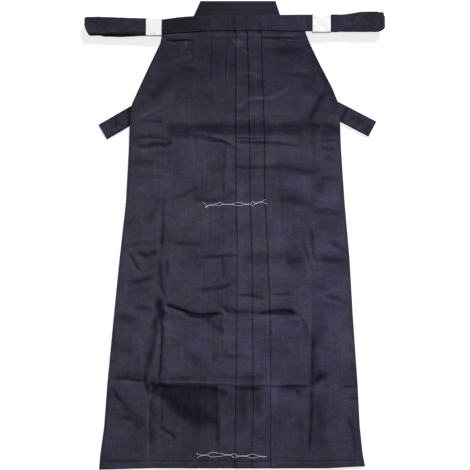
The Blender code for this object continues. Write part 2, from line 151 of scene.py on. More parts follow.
# Folds and wrinkles: how far each rises (below zero it sinks), how wide it reaches to each
# side, how round its crest is (2 is round, less is sharp), its tone (painted light above zero,
# painted shade below zero, with some dye wear), and then the points of its line, as x and y in
# turn
Fold = namedtuple("Fold", "rise reach crest tone line")
FOLDS = [Fold(*row[:4], tuple(zip(row[4::2], row[5::2]))) for row in (
    # Under the band
    (-1.5, 2, 1.5, -0.28, -149, 423, -132, 422, -91, 423),
    (-1, 1.6, 1.5, -0.16, 60, 428, 90, 426, 114, 427, 138, 426),
    (-0.25, 1.3, 1.5, -0.02, 81, 418, 114, 420),
    (0.3, 3, 2, 0.06, 60, 420, 99, 418),
    (0.5, 3.4, 2, 0.12, 60, 413, 88, 411, 112, 413),
    (0.4, 1.5, 2, 0.09, 101, 423, 144, 423),
    (0.9, 2.4, 2, 0.22, -105, 420, -111, 405, -119, 392),
    (0.9, 3, 1.5, 0.12, 7, 275, 25, 292, 38, 296),
    (1.2, 2.8, 1.5, 0.2, 31, 293, 57, 297, 83, 296, 101, 305, 125, 324),
    (-1.3, 5, 2, -0.22, 197, 313, 184, 291, 175, 275, 166, 257, 162, 242),
    (0.9, 2.6, 1.5, 0.2, 27, 355, 44, 348, 60, 338),
    (0.6, 1.8, 1.5, 0.1, 3, 351, 25, 353),
    (0.4, 2.2, 1.5, 0.07, 1, 388, 25, 396),
    (0.6, 13, 2, 0, 157, 303, 148, 272, 144, 251),
    (-0.8, 8, 2, 0, 233, 242, 214, 235, 192, 238),
    (-0.9, 3.4, 1.5, -0.1, 242, 205, 209, 205, 185, 203),
    (-0.6, 3, 1.5, -0.1, 167, 214, 167, 199),
    (-0.9, 4, 1.5, -0.08, 190, 236, 222, 232),
    # Across the hips
    (0.9, 16, 2, 0, -184, 253, -96, 255, 2, 256, 89, 255, 183, 257),
    (-0.3, 12, 2, 0, -149, 222, -75, 224, 60, 225, 142, 225),
    (0, 4.8, 2, -0.18, -149, 237, -75, 238, 60, 238, 151, 237),
    (0, 4.8, 2, -0.18, -149, 227, -75, 227, 60, 227, 153, 226),
    (0, 3.4, 2, -0.09, -67, 220, 33, 220, 142, 220),
    (0, 6.5, 2, -0.11, 149, 230, 186, 229, 225, 227),
    (0, 5, 2, -0.15, -149, 217, -110, 216, -71, 219),
    (-0.6, 4, 2, -0.09, 153, 238, 184, 237),
    (0, 4.5, 2, 0.08, 188, 234, 227, 233),
    (-0.2, 6, 2, -0.09, 190, 221, 227, 220),
    (0.4, 1.6, 1.5, 0, 3, 213, 60, 213),
    (0.2, 1.6, 1.5, 0, 60, 213, 107, 213),
    (0.45, 1.7, 1.5, 0.05, 7, 206, 83, 206),
    (-0.6, 1.5, 1.5, -0.14, 3, 210, 60, 209),
    (-0.2, 1.5, 1.5, -0.03, 60, 209, 105, 209),
    (-0.4, 1.6, 2, -0.12, 4, 211, 27, 210),
    (-1.3, 3, 1.5, -0.16, 1, 201, 60, 200, 107, 197, 142, 192),
    (0.9, 4, 1.5, 0.05, -69, 219, -45, 216, -21, 206, 3, 191),
    (-1.1, 3.6, 2, -0.1, -73, 214, -47, 206, -23, 201, 3, 188),
    (-1.9, 3.6, 1.5, -0.2, -212, 191, -188, 192, -168, 198, -151, 193, -131, 203),
    (-0.6, 5, 2, 0, -212, 189, -166, 188),
    (0.9, 8, 2, 0, -184, 185, -144, 183, -123, 189),
    (-1.2, 8, 2, -0.13, -225, 156, -201, 157, -180, 155),
    (-0.5, 4, 2, -0.06, -212, 123, -184, 126, -154, 122),
    (-0.7, 4, 2, 0, -197, 250, -160, 244),
    # Thighs
    (-0.7, 4, 2, -0.09, -136, 79, -114, 83, -97, 92, -80, 103),
    (-1.3, 4.6, 2, -0.11, -93, 81, -67, 73, -45, 72, -25, 76, -12, 85, 3, 98),
    (-1.2, 4.4, 1.7, -0.11, -6, 145, 60, 145, 99, 145),
    (-0.2, 8, 2, -0.05, 5, 135, 60, 135, 133, 133),
    (-1.3, 8, 2, -0.13, 81, 146, 116, 144, 144, 135, 181, 131),
    (-1.2, 9, 2, -0.1, 92, 75, 125, 70, 160, 59, 173, 48, 207, 44, 236, 46),
    (-0.3, 14, 2, -0.07, 88, 85, 160, 79),
    (-1, 2.8, 1.5, -0.1, -23, 201, -23, 159, -27, 120, -23, 88),
    (0.4, 3, 2, 0.08, -14, 194, -12, 133),
    (-0.5, 7, 2, -0.04, 142, 135, 190, 138),
    (-0.6, 8, 2, 0, 168, 50, 238, 50),
    (-0.7, 5, 2, 0, 168, 233, 168, 141),
    (-1.3, 3, 1.5, -0.18, -73, -52, -49, -48, -27, -47, 3, -45),
    (-1.3, 2.2, 1.5, -0.16, -27, -49, -24, -92),
    (-1.4, 3.6, 1.5, -0.16, -82, -121, -36, -117, -12, -110, 3, -108),
    (-1.7, 2.8, 1.5, -0.2, -229, -40, -219, -60, -207, -79),
    (-1.6, 5.5, 2, -0.2, -212, -39, -193, -46, -167, -37),
    (-1.5, 4.5, 2, -0.17, -227, -106, -206, -103, -179, -93),
    (-0.4, 4, 2, -0.03, -212, -20, -167, -18),
    (-1.1, 13, 2, -0.1, 3, -54, 60, -53, 149, -54),
    (-0.9, 11, 2, -0.1, 110, -62, 133, -65, 151, -60),
    (-1.8, 9.5, 2, -0.17, 179, -55, 210, -57, 244, -58),
    (-1.2, 6, 2, -0.1, 205, -18, 225, -27, 244, -39),
    # Storage fold down the right leg
    (-0.8, 6, 2, -0.05, -153, 19, -158, -25),
    (-1.7, 4, 1.5, -0.15, -163, -51, -164, -81, -162, -108, -153, -136),
    (-1.6, 2.8, 1.5, -0.16, -148, -56, -148, -86),
    (-2.8, 6.5, 2, -0.34, -166, -140, -164, -162, -158, -186),
    (1.4, 2.6, 1.5, 0.15, -153, -151, -148, -167),
    (-1.9, 2.8, 1.5, -0.25, -160, -182, -158, -221, -160, -258, -162, -291, -165, -319),
    (1.1, 6, 2, 0, -149, -191, -147, -252, -150, -304),
    (-0.9, 9, 2, -0.05, -176, -186, -184, -241, -192, -291),
    (-1.5, 5, 1.8, -0.17, -173, -173, -174, -215, -179, -250, -190, -284, -195, -315),
    (0.5, 3, 2, 0.09, -168, -213, -170, -250, -176, -286),
    (-2.1, 2.3, 1.5, -0.3, -196, -304, -194, -323, -188, -343),
    (0.7, 2.8, 1.5, 0.1, -190, -352, -190, -426, -190, -492),
    (-0.5, 5, 2, -0.06, -182, -352, -181, -426, -182, -492),
    # Knees
    (-2.9, 3.4, 1.4, -0.35, -155, -150, -134, -157, -110, -166, -90, -173, -68, -176, -48,
     -173, -27, -171),
    (0.8, 8, 2, 0, -131, -169, -96, -184, -61, -189),
    (-1.6, 5.2, 1.5, -0.16, -27, -157, -12, -165, 7, -170, 51, -170, 64, -169),
    (-2.8, 4.6, 1.5, -0.3, 52, -170, 87, -168, 102, -166, 130, -169),
    (-1, 9, 2, -0.12, 90, -170, 134, -174),
    (-1.2, 8, 2, -0.14, -112, -172, -76, -180, -40, -176),
    (-1, 5, 2, -0.06, 122, -169, 142, -179, 150, -191, 151, -219),
    (-1.2, 5, 2, -0.1, -61, -186, -44, -200, -31, -209),
    (1.2, 2.6, 1.5, 0.12, -28, -165, -18, -180),
    (-0.8, 3, 2, -0.06, -33, -182, -33, -217),
    (-1.4, 2.8, 1.5, -0.2, 8, -131, 39, -132, 52, -135, 67, -141),
    (-1.1, 3, 1.5, -0.13, 82, -131, 100, -131, 124, -129),
    (-0.6, 9, 2, -0.05, -265, -173, -249, -182, -214, -186),
    (-1.3, 4, 1.5, -0.1, 196, -134, 224, -140, 246, -150),
    # Storage fold down the left leg
    (-1.3, 3.6, 1.5, -0.12, 165, 15, 168, -20, 170, -49, 181, -62),
    (-1.2, 3.2, 1.5, -0.1, 148, -20, 155, -38, 160, -57),
    (0.8, 2.6, 1.5, 0.05, 159, -18, 163, -51),
    (-0.9, 4, 2, -0.05, 169, -64, 169, -143, 169, -230),
    (-1.3, 3.4, 1.5, -0.12, 169, -221, 168, -278, 167, -330),
    (-0.3, 8, 2, -0.08, 175, -202, 173, -254, 170, -315),
    (-1, 12, 2, -0.06, 183, -105, 185, -182, 180, -241),
    (-1.6, 7, 2, -0.15, 166, -330, 179, -318, 197, -306),
    (-0.6, 8, 2, -0.12, 184, -302, 201, -306),
    (-0.3, 15, 2, -0.08, 179, -367, 179, -463),
    (-1.3, 3.2, 1.5, -0.17, 167, -334, 166, -404, 163, -471),
    (0.7, 5, 2, 0.03, 160, -60, 161, -186, 161, -326),
    (-0.8, 5, 2, -0.05, 264, -378, 262, -413, 268, -448),
    # Storage fold across the shins
    (0.8, 2.2, 1.5, -0.04, -175, -321, -75, -321, -27, -323, 3, -325, 60, -325, 105, -325, 168,
     -326),
    (-1.3, 6, 2, -0.12, -184, -327, -149, -331, -95, -332, -36, -335),
    (0, 6, 2, -0.26, -182, -321, -171, -334),
    (0, 6, 2, -0.17, -178, -337, -169, -352),
    (0, 6, 2, -0.14, -162, -318, -143, -334),
    (0, 3.4, 2, -0.11, -184, -313, -141, -313, -88, -313),
    (0, 11, 2, -0.13, -162, -343, -119, -344, -54, -344),
    (-0.3, 4.5, 2, -0.18, -51, -337, -36, -339),
    (-0.3, 6, 2, -0.12, -38, -339, -19, -344),
    (-1.1, 4.6, 2, -0.19, 3, -335, 33, -335, 62, -336),
    (0, 7, 2, -0.12, 25, -310, 60, -310),
    (-1.2, 4.5, 2, -0.13, 94, -331, 125, -333, 155, -331),
    (0, 5, 2, -0.1, 96, -337, 153, -337),
    (-0.5, 6, 2, -0.12, 138, -341, 144, -354),
    (-1.7, 3.1, 1.5, -0.2, -271, -310, -234, -313, -195, -319),
    (-0.3, 6, 2, -0.08, -256, -302, -199, -306),
    (-1.2, 3, 1.5, -0.1, 238, -333, 266, -329),
    (-1, 3, 1.5, -0.08, 255, -355, 270, -357),
    (-1.6, 14, 2, -0.1, -162, -352, -123, -381, -83, -405, -44, -407),
    (1.2, 4, 1.5, 0.05, -165, -343, -161, -372, -155, -413),
    # Above the hem
    (-1.8, 2.8, 1.5, -0.2, -162, -416, -147, -429, -138, -432, -129, -445),
    (-1, 3, 2, -0.05, -159, -385, -158, -424),
    (-1.5, 2.4, 1.5, -0.17, -274, -337, -262, -338, -256, -352, -248, -363),
    (-1, 4.5, 2, -0.05, -245, -395, -230, -403, -208, -424),
    (-1.2, 2.8, 1.5, -0.08, -276, -440, -262, -446),
    (-0.6, 8, 2, -0.03, 126, -416, 153, -433),
    # Darker patches
    (-0.4, 13, 2, -0.2, 176, 412, 206, 340, 234, 262),
    (0, 20, 2, -0.06, -150, 418, -162, 380),
    # Softer shades and small wrinkles
    (0.6, 4.4, 2, 0.08, -95, 387, -117, 380, -138, 371),
    (-0.7, 3, 2, -0.1, -132, 368, -112, 361, -84, 356),
    (-0.2, 10, 2, -0.07, -156, 349, -114, 351, -67, 351),
    (-0.9, 8, 2, -0.14, -143, 338, -164, 316, -186, 292),
    (1, 4.2, 2, 0.13, -156, 278, -182, 267, -210, 252),
    (0.9, 26, 2, 0.03, -101, 294, -62, 301, -32, 299),
    (0, 22, 2, -0.03, -54, 301, -4, 301),
    (-0.9, 3.6, 2, -0.13, -219, 210, -184, 213, -149, 209),
    (-0.5, 4, 2, -0.07, -156, 79, -158, 22, -160, -58),
    (-0.3, 2.5, 2, -0.05, -75, 51, -75, -21),
    (0.3, 2.5, 2, 0.05, -64, 59, -64, -10),
    (-0.3, 2.5, 2, -0.05, -54, 51, -54, -10),
    (-0.3, 2.2, 2, -0.05, -27, 66, -27, -2),
    (-0.7, 3, 1.5, -0.1, -232, 25, -219, 40),
    (0.9, 3, 1.5, 0.06, -97, 222, -62, 220),
    (-0.6, 3.5, 2, -0.08, -88, 209, -62, 207, -32, 199),
    (0.3, 2.6, 2, 0.05, 116, 411, 149, 410),
    (0.6, 2.2, 1.5, 0.12, -4, 423, 5, 412, 1, 396),
    (0.6, 2, 1.5, 0.1, 14, 403, 29, 396),
    (0.5, 2, 1.5, 0.08, 3, 381, 12, 366),
    (-0.7, 5, 2, -0.12, 116, 348, 138, 344, 160, 340),
    (-0.9, 5, 2, -0.1, 168, 235, 203, 231, 240, 225),
    (-0.5, 2.5, 2, -0.12, 236, 96, 240, 68),
    (-0.5, 2.5, 2, -0.1, 240, 48, 244, 18),
    (-0.7, 3, 2, -0.08, -160, 9, -158, -32),
    (-0.6, 2.6, 2, -0.07, -147, 9, -149, -45),
    (-0.8, 3.4, 2, -0.11, -241, -24, -210, -22),
    (-0.6, 4, 2, -0.06, -136, -19, -86, -21),
    (-0.7, 7, 2, -0.1, -219, -160, -197, -160, -180, -165),
    (-0.7, 6, 2, -0.12, -254, -182, -238, -183, -221, -191),
    (-0.5, 8, 2, -0.09, -110, -258, -82, -276),
    (-0.3, 4, 2, -0.04, -104, -213, -101, -250),
    (-0.8, 5, 2, -0.08, -32, -258, -8, -267, 12, -267, 38, -273),
    (-0.9, 8, 2, -0.09, -271, -339, -251, -363, -228, -391, -201, -417),
    (-1.3, 2.8, 1.5, -0.15, -162, -339, -158, -371, -159, -410),
    (-0.6, 2.6, 1.5, -0.07, -178, -384, -169, -404, -162, -419),
    (-0.6, 4, 2, -0.1, -184, -356, -182, -404, -184, -460),
    (0, 34, 2, -0.045, -158, -391, -97, -428, -14, -441),
    (-0.4, 2.2, 2, -0.06, -82, -345, -82, -480),
    (-0.4, 5, 2, -0.07, -284, -491, -206, -495),
    (-0.6, 7, 2, -0.1, -23, -332, -21, -363, -19, -402),
    (-0.6, 8, 2, -0.11, 14, -339, 20, -402),
    (-0.4, 7, 2, -0.07, 46, -343, 57, -397),
    (-0.6, 8, 2, -0.08, 175, -219, 177, -326),
    (-0.5, 2.8, 2, -0.14, 249, -232, 255, -252),
    (-0.5, 2.8, 2, -0.14, 253, -273, 257, -297),
    (-0.5, 2.8, 2, -0.12, 260, -310, 264, -328),
    (-0.8, 3, 2, -0.14, 252, -357, 266, -355),
    (-0.6, 3, 2, -0.1, 251, -367, 260, -387),
    (-0.8, 3.4, 1.7, -0.15, 247, -393, 253, -417, 260, -443, 264, -478),
    (-0.4, 14, 2, -0.07, 181, -339, 188, -402, 190, -471),
    (0.3, 1.4, 2, 0.07, 80, -328, 80, -480),
    (-0.6, 2.6, 2, -0.1, -204, 246, -162, 245),
    (0.5, 6, 2, 0.07, -125, 305, -147, 299, -162, 283),
    (0.3, 9, 2, 0.07, -169, 388, -182, 349),
    (-0.4, 3, 2, -0.05, -95, 403, -93, 379),
    (-0.4, 7, 2, -0.06, -223, 272, -193, 283),
    (-0.5, 2.2, 2, -0.08, -78, 429, -62, 433),
    (0.3, 5, 2, 0.05, -158, 246, -106, 244),
    (-0.5, 7, 2, -0.11, 70, 399, 110, 396, 151, 399),
    (0.4, 5, 2, 0.08, 83, 381, 114, 379),
    (0.5, 2, 2, 0.12, 131, 356, 160, 357),
    (-0.3, 11, 2, -0.1, 142, 322, 181, 316),
    (-0.4, 5, 2, -0.08, 170, 353, 175, 333),
    (0.4, 9, 2, 0.09, 151, 294, 173, 292),
    (0.4, 4, 2, 0.08, 177, 338, 192, 329),
    (-0.4, 6, 2, -0.07, 179, 270, 216, 268),
    (0.5, 5, 2, 0.12, 5, 417, 23, 411),
    (0.3, 6, 2, 0.07, 33, 420, 57, 414),
    (-0.3, 2.6, 2, -0.09, 5, 404, 27, 403),
    (-0.2, 11, 2, -0.08, 31, 322, 60, 320),
    (-0.5, 3, 2, -0.1, 5, 327, 27, 325),
    (-0.6, 2.4, 2, -0.1, -23, 259, -4, 268, 25, 270),
    (0.4, 5, 2, 0.08, 29, 261, 51, 258),
    (-0.2, 6, 2, -0.07, 7, 266, 27, 267),
    (0.5, 2, 2, 0.1, 7, 249, 36, 252),
    (-0.5, 2.6, 2, -0.09, -19, 438, -12, 420, -17, 405),
    (-0.6, 2.2, 2, -0.1, -10, 368, -6, 351),
    (0.3, 8, 2, 0.06, -49, 329, -27, 329),
    (0.4, 3, 2, 0.08, -47, 295, -25, 291),
    (-0.3, 6, 2, -0.05, -47, 399, -45, 349),
    (0.3, 8, 2, 0.07, -225, 181, -188, 175),
    (-0.6, 3.4, 2, -0.1, -169, 59, -178, 44, -186, 27),
    (0.5, 4, 2, 0.09, -169, 42, -167, 18),
    (0.4, 6, 2, 0.07, 5, 94, 31, 101),
    (0.3, 9, 2, 0.04, -54, 109, -27, 125),
    (-0.9, 3.4, 2, -0.12, 188, 189, 216, 185),
    (-0.5, 4, 2, -0.09, 197, 167, 214, 164),
    (-0.9, 5.5, 2, -0.11, 190, 118, 225, 122),
    (-0.3, 8, 2, -0.06, 188, 112, 188, 92),
    (0.5, 14, 2, 0.07, 175, 75, 223, 75),
    (0.3, 8, 2, 0.05, 116, 120, 147, 114, 155, 90),
    (-0.2, 14, 2, -0.06, 173, 29, 238, 29),
    (-0.6, 3, 2, -0.08, -156, 33, -156, -6, -160, -30),
    (-0.7, 2.8, 2, -0.09, -142, 7, -142, -34),
    (-0.5, 6, 2, -0.06, -136, -21, -62, -24),
    (-0.6, 3, 2, -0.07, -167, -62, -195, -82),
    (-0.9, 3, 2, -0.12, -34, -147, -17, -165),
    (-0.6, 2, 2, -0.09, -21, -96, -4, -98),
    (-0.3, 9, 2, -0.06, 190, -91, 188, -119),
    (-0.3, 8, 2, -0.06, 129, 11, 129, -39),
    (-0.2, 7, 2, -0.05, 184, 14, 218, 14),
    (-0.6, 3.4, 2, -0.08, -254, -247, -225, -258),
    (0.3, 12, 2, 0.07, -221, -239, -201, -236),
    (-0.3, 5, 2, -0.08, -132, -310, -58, -313),
    (-0.3, 5, 2, -0.06, -49, -310, 55, -309),
    (-0.3, 15, 2, -0.08, -245, -371, -193, -387),
    (-0.8, 2.6, 2, -0.12, -247, -399, -232, -399),
    (-0.7, 3, 2, -0.1, -219, -424, -208, -418, -195, -417),
    (-0.8, 2.6, 2, -0.1, -32, -189, -27, -215),
    (-0.5, 5, 2, -0.09, -45, -252, -43, -273),
    (0, 20, 2, -0.06, -14, -352, 60, -354),
    (-0.4, 5, 2, -0.07, 60, -354, 46, -382),
    (-0.5, 3, 2, -0.09, -10, -347, -8, -382),
    (0.5, 3.6, 2, 0.09, 82, -328, 85, -395),
    (0.4, 2.6, 2, 0.09, 73, -276, 73, -317),
    (-0.4, 5, 2, -0.08, 114, -190, 138, -191),
    (-0.3, 5, 2, -0.08, 99, -254, 118, -254),
    (-0.4, 3, 2, -0.07, 188, -247, 205, -252),
    (-0.9, 2.8, 1.5, -0.18, -37, -350, -37, -410, -38, -460),
    (0.4, 4.4, 2, 0.08, -30, -376, -25, -424),
    (-0.3, 6, 2, -0.08, 142, -384, 147, -426),)]

# How far the hem is cut below its middle line, across the garment
HEM = named_rows("x drop", (-296.0, 3.4), (-180.0, -0.4), (50.0, 0.0), (200.0, 0.0), (285.0, -4.2))

# Lower and upper edge of the front band
BAND_EDGES = named_rows(
    "x low high",
    (-158.2, 436.3, 468.6), (-120.0, 439.6, 474.0), (-88.0, 441.6, 476.8), (-40.0, 443.6, 478.4),
    (24.0, 444.8, 479.2), (168.2, 442.3, 479.2))

# A front tie is folded to and fro, from its start under the band past the end of its wrap to
# its outer folds. They are given from the top one down, each with its reach and the drop of
# the tie's middle there, and the last layer ends at the tail. The creases on top lean by lean,
# and the layers below are painted darker, as shade, by the tone under. From the corner outwards
# the lower edge is cut back, by cut at the end.
FrontTie = namedtuple("FrontTie", "name sign start wrap_end middle tail lean under corner cut"
                                  " folds")
FRONT_TIES = (
    FrontTie("right_front_tie", -1, 159.2, 193.0, 452.4, 196.0, 0.5, 0.78, 316.5, 16.0,
             named_rows("reach drop", (326.2, -2.86), (323.0, -2.06), (319.0, 0.18),
                        (291.0, 1.78), (286.0, 2.1))),
    FrontTie("left_front_tie", 1, 169.1, 208.6, 460.6, 213.0, 0.05, 0.8, 306.0, 7.0,
             named_rows("reach drop", (326.2, 1.5), (324.0, -1.25), (320.5, -3.5),
                        (325.0, -6.5), (315.0, -8.0))),
)
WRAPS = named_rows("name inner outer middle", ("right_wrap", -159.4, -192.5, 453.0),
                   ("left_wrap", 168.9, 208.2, 460.2))

# A back tie: the middle of its folded tip, how steeply it falls, where its root is sewn, and
# the painted shadow beside the slit: its place, its slope, how far it spreads and how dark it is
BACK_TIES = named_rows(
    "name sign tip_x tip_y fall root_x dark_x dark_y dark_slope dark_spread dark_depth",
    ("right_back_tie", -1, 288.3, 224.2, 30.0, 107.5, 229.9, 258.0, 0.0, 2.8, 0.85),
    ("left_back_tie", 1, 300.8, 230.8, 27.5, 112.0, 236.2, 259.0, 0.5, 4.4, 0.75))
OVER_BACK = 1.8                   # middle of the first layer on a back panel
ON_FLOOR = 0.5 * CLOTH + 0.05
BACK_TIE_RUN = (                  # distances before the tip, height of the lower of two layers
    (150.0, OVER_BACK), (100.0, OVER_BACK), (56.0, OVER_BACK), (36.0, ON_FLOOR), (1.8, ON_FLOOR))
CREASE_ROOM = 37.0                # from the fold at the root to the first straight rung

MACHI = ((0.0, 28.0), (50.0, -60.0), (0.0, -162.0), (-50.0, -60.0))

# Basting threads: the upper and the lower strand of each, then its loose tails
Thread = namedtuple("Thread", "name strands")
THREADS = (
    Thread("basting_upper", (
        ((-62.3, 61.5), (-56.8, 65.4), (-39.4, 68.2), (-32.5, 71.3), (-24.2, 67.6), (-5.7, 67.6),
         (0.8, 70.2), (11.7, 70.9), (22.6, 68.2), (33.4, 68), (38.4, 72.6), (45, 69.5), (53, 71.9),
         (59.5, 73.7), (63.9, 76.1), (68.2, 77.4)),
        ((-62.3, 61.5), (-55.8, 64.1), (-39.4, 65.8), (-33.3, 63.9), (-24.2, 66.5), (-5.7, 66.7),
         (0.8, 64.5), (11.7, 64.1), (22.6, 66.5), (33.4, 66.7), (39.1, 64.5), (45, 68), (53, 70.2),
         (59.5, 70.9), (69.3, 68.9)),
        ((-71.2, 72.2), (-66.2, 69.1), (-62.3, 66.9), (-62.1, 61.5)),
        ((-63.6, 62.2), (-61.4, 63), (-60.5, 61.1), (-62.1, 59.5), (-63.6, 61.1), (-62.1, 62.6)))),
    Thread("basting_lower", (
        ((-82.9, -474.9), (-69.9, -478.1), (-58.4, -475.9), (-49.2, -472), (-38.4, -473.5),
         (-25.7, -475.9), (-12.2, -477.9), (-1.4, -475.3), (6.9, -479.4), (22.6, -479.4),
         (31.2, -477.9), (39.5, -475.9), (48.6, -477.9), (55.2, -480.1), (70.4, -481.6)),
        ((-81, -483.3), (-70.5, -479.4), (-56.8, -479.6), (-49.2, -482.2), (-31.8, -480.9),
         (-18.8, -478.8), (-7.9, -479), (-1.4, -483.6), (6.9, -480.7), (22.6, -480.7),
         (31.2, -482.7), (39.5, -484.9), (47.8, -482.9), (55.2, -480.9), (66, -483.6)))),
)
THREAD_RADIUS = 0.45


def between(table, column, place):
    """Value of a column at one place or many, straight between the rows of a table."""
    return np.interp(place, [row[0] for row in table], [getattr(row, column) for row in table])


def ease(share):
    """A smooth step from 0 to 1, for a number or an array."""
    share = np.clip(share, 0.0, 1.0)
    return share * share * (3 - 2 * share)


def bump(distance, half, crest=2):
    """A ridge of height 1 that falls away to a third at half on each side."""
    return np.exp(-(distance / half) ** crest)


def uneven(x, y, size, seed):
    """A smooth uneven field, about -1 to 1, with bumps of the given size."""
    x, y = np.broadcast_arrays(np.asarray(x, float) / size, np.asarray(y, float) / size)
    values = [noise.noise((a, b, seed)) for a, b in zip(x.ravel(), y.ravel())]
    return np.array(values).reshape(x.shape)


def line_places(x, y, line):
    """Distance of each place from a line through points, and its run along it, in mm."""
    nearest = np.full(x.shape, 1e9)
    run = np.zeros(x.shape)
    before = 0.0
    for (x0, y0), (x1, y1) in zip(line, line[1:]):
        length = hypot(x1 - x0, y1 - y0)
        share = ((x - x0) * (x1 - x0) + (y - y0) * (y1 - y0)) / length ** 2
        share = np.clip(share, 0.0, 1.0)
        away = np.hypot(x - x0 - share * (x1 - x0), y - y0 - share * (y1 - y0))
        closer = away < nearest
        nearest = np.where(closer, away, nearest)
        run = np.where(closer, before + share * length, run)
        before += length
    return nearest, run, before


END_FADE = 24.0                   # a fold fades out over this length at each end,
END_SHARE = 0.27                  # or over this share of a short one
END_REACH = 7.0
WANDER = 1.8                      # how far a fold wanders off its line
WANDER_SIZE = 20.0
FOLD_LIFT = 1.35
FOLD_UNEVEN = 0.35
FOLD_SHADE_AND_WEAR = 3.0
TONE_SPREAD = 1.35
TONE_RANGE = (-0.8, 0.7)


def longer(line, reach):
    """A line carried straight on at both ends."""
    ends = []
    for (x0, y0), (x1, y1) in ((line[0], line[1]), (line[-1], line[-2])):
        share = reach / hypot(x1 - x0, y1 - y0)
        ends.append((x0 - (x1 - x0) * share, y0 - (y1 - y0) * share))
    return (ends[0], *line, ends[1])


def folds_at(x, y):
    """Height of the folds over places of the front, and their tone there: painted light and shade
    with some dye wear.
    """
    bent_x = x + WANDER * uneven(x, y, WANDER_SIZE, 3.1)
    bent_y = y + WANDER * uneven(x, y, WANDER_SIZE, 7.7)
    rise = np.zeros(x.shape)
    tone = np.zeros(x.shape)
    for fold in FOLDS:
        away, run, length = line_places(bent_x, bent_y, longer(fold.line, END_REACH))
        fade = min(END_FADE, END_SHARE * length)
        ends = ease(run / fade) * ease((length - run) / fade)
        ends *= 1 + FOLD_UNEVEN * uneven(x, y, 17.0, 4.1 + fold.line[0][0])
        rise += fold.rise * ends * bump(away, fold.reach, fold.crest)
        # painted light along crests and painted shade in hollows, with some dye wear
        tone += fold.tone * ends * bump(away, fold.reach * TONE_SPREAD)
    return FOLD_LIFT * rise, np.clip(FOLD_SHADE_AND_WEAR * tone, *TONE_RANGE)


def hem_drop(x, y):
    """How far places near the hem are moved down, for the uneven cut of the hem."""
    return between(HEM, "drop", x) * ease(1 - (y - HEM_Y) / HEM_FADE)


def turned(u, z, bulge, turns):
    """Points round a folded edge at some turns, from -90 below it to 90 above it; bulge is
    1 for an edge that faces outwards and -1 for one that faces inwards."""
    return [(u + bulge * BEND * cos(radians(turn)), z + BEND * sin(radians(turn)))
            for turn in turns]


def pleat_edges(leg, y):
    """Where a leg's pleats have their folded edges, from the inseam outwards."""
    return [between(PLEATS, edge, y) for edge in leg.edges]


def pleat_fall(edges, index=-1):
    """Slope and depth of a pleat, from the distance to the next one; the last is as wide."""
    gaps = [after - edge for edge, after in zip(edges, edges[1:])]
    spacing = (gaps + gaps[-1:])[index]
    return 2 * PITCH / spacing, PLEAT_FILL * spacing


def side_height(leg, y):
    """Height of the front panel's side edge, and of the bottom of its turned-down hem."""
    height = between(HEIGHTS, "side", y)
    if y >= leg.slit_foot:
        return height, height - SLIT_HEM
    above_seam = (height - SEAM_HEIGHT) * ease(1 - (leg.slit_foot - y) / SLIT_SOFT)
    return SEAM_HEIGHT + above_seam, 0.0


def panel_height(leg, y, u):
    """Height of the outer panel, from its pleat out to the side edge."""
    edges = pleat_edges(leg, y)
    slope, depth = pleat_fall(edges)
    top = between(HEIGHTS, "pleat", y)
    start = edges[-1] + depth
    edge = side_height(leg, y)[0]
    share = np.clip((u - start) / (between(SIDES, leg.side, y) - start), 0.0, 1.0)
    beyond = edge + (top - slope * depth - edge) * (1 - share ** 2)
    return np.where(u <= start, top - slope * (u - edges[-1]), beyond)


def front_height(x, y):
    """Height of the uppermost front layer over a place near the waist."""
    leg = RIGHT_LEG if x < PLEATS[-1].left_inner else LEFT_LEG
    u = leg.sign * x
    edges = pleat_edges(leg, y)
    top = between(HEIGHTS, "pleat", y)
    if u < edges[0]:
        return top - 2 * PITCH
    for index, edge in enumerate(edges[:-1]):
        if u < edges[index + 1]:
            return top - pleat_fall(edges, index)[0] * (u - edge)
    return float(panel_height(leg, y, u))


def extend(points, u, z, steps=1):
    """Adds points straight on from the last one, the last of them at (u, z)."""
    u0, z0 = points[-1]
    for step in range(1, steps + 1):
        share = step / steps
        points.append((u0 + (u - u0) * share, z0 + (z - z0) * share))


def panel_places(leg, y, start, side):
    """Places across the outer panel, finer where a storage fold runs down it."""
    focus = between(leg.focus, "x", y)
    low = min(max(focus, start + 2 * FOCUS_HALF), start + 0.6 * (side - start))
    half = min(FOCUS_HALF, 0.15 * (side - start))
    return np.concatenate((
        np.linspace(start, low - half, INNER_STEPS + 1)[1:],
        np.linspace(low - half, low + half, FOCUS_STEPS + 1)[1:],
        np.linspace(low + half, side - 2 * HALF - TURN, OUTER_STEPS + 1)[1:]))


def front_section(leg, y):
    """One section across a front panel, from the inseam outwards, as (u, z)."""
    top = between(HEIGHTS, "pleat", y)
    edges = pleat_edges(leg, y)
    flap = between(PLEATS, "left_inner", y)
    flap_slope = pleat_fall(pleat_edges(LEFT_LEG, y), 0)[0]
    seam_u = leg.sign * leg.seam_x
    strip = top - 2 * PITCH
    points = [(seam_u, top - STACK)]
    extend(points, seam_u, strip - flap_slope * (leg.seam_x - flap), 2)
    if leg is RIGHT_LEG:
        extend(points, -flap, strip, 3)
    for index, edge in enumerate(edges):
        slope, depth = pleat_fall(edges, index)
        if leg is RIGHT_LEG or index > 0:
            extend(points, edge, strip, STRIP_STEPS)
        for layers in (turned(edge + depth, top - 1.5 * PITCH - slope * depth, 1, HIDDEN_TURNS),
                       turned(edge + HALF + BEND, top - BEND, -1, SHOWN_TURNS)):
            extend(points, *layers[0], HIDDEN_STEPS)
            points += layers[1:]
    start = edges[-1] + depth
    side = between(SIDES, leg.side, y)
    extend(points, start, top - slope * depth, STRIP_STEPS)
    places = panel_places(leg, y, start, side)
    points += zip(places, panel_height(leg, y, places))
    height, rim = side_height(leg, y)
    points.append((side - HALF - 0.3 * TURN, height - 0.3 * TURN))
    points.append((side - HALF, height - TURN))
    points.append((side - HALF, rim))
    return points


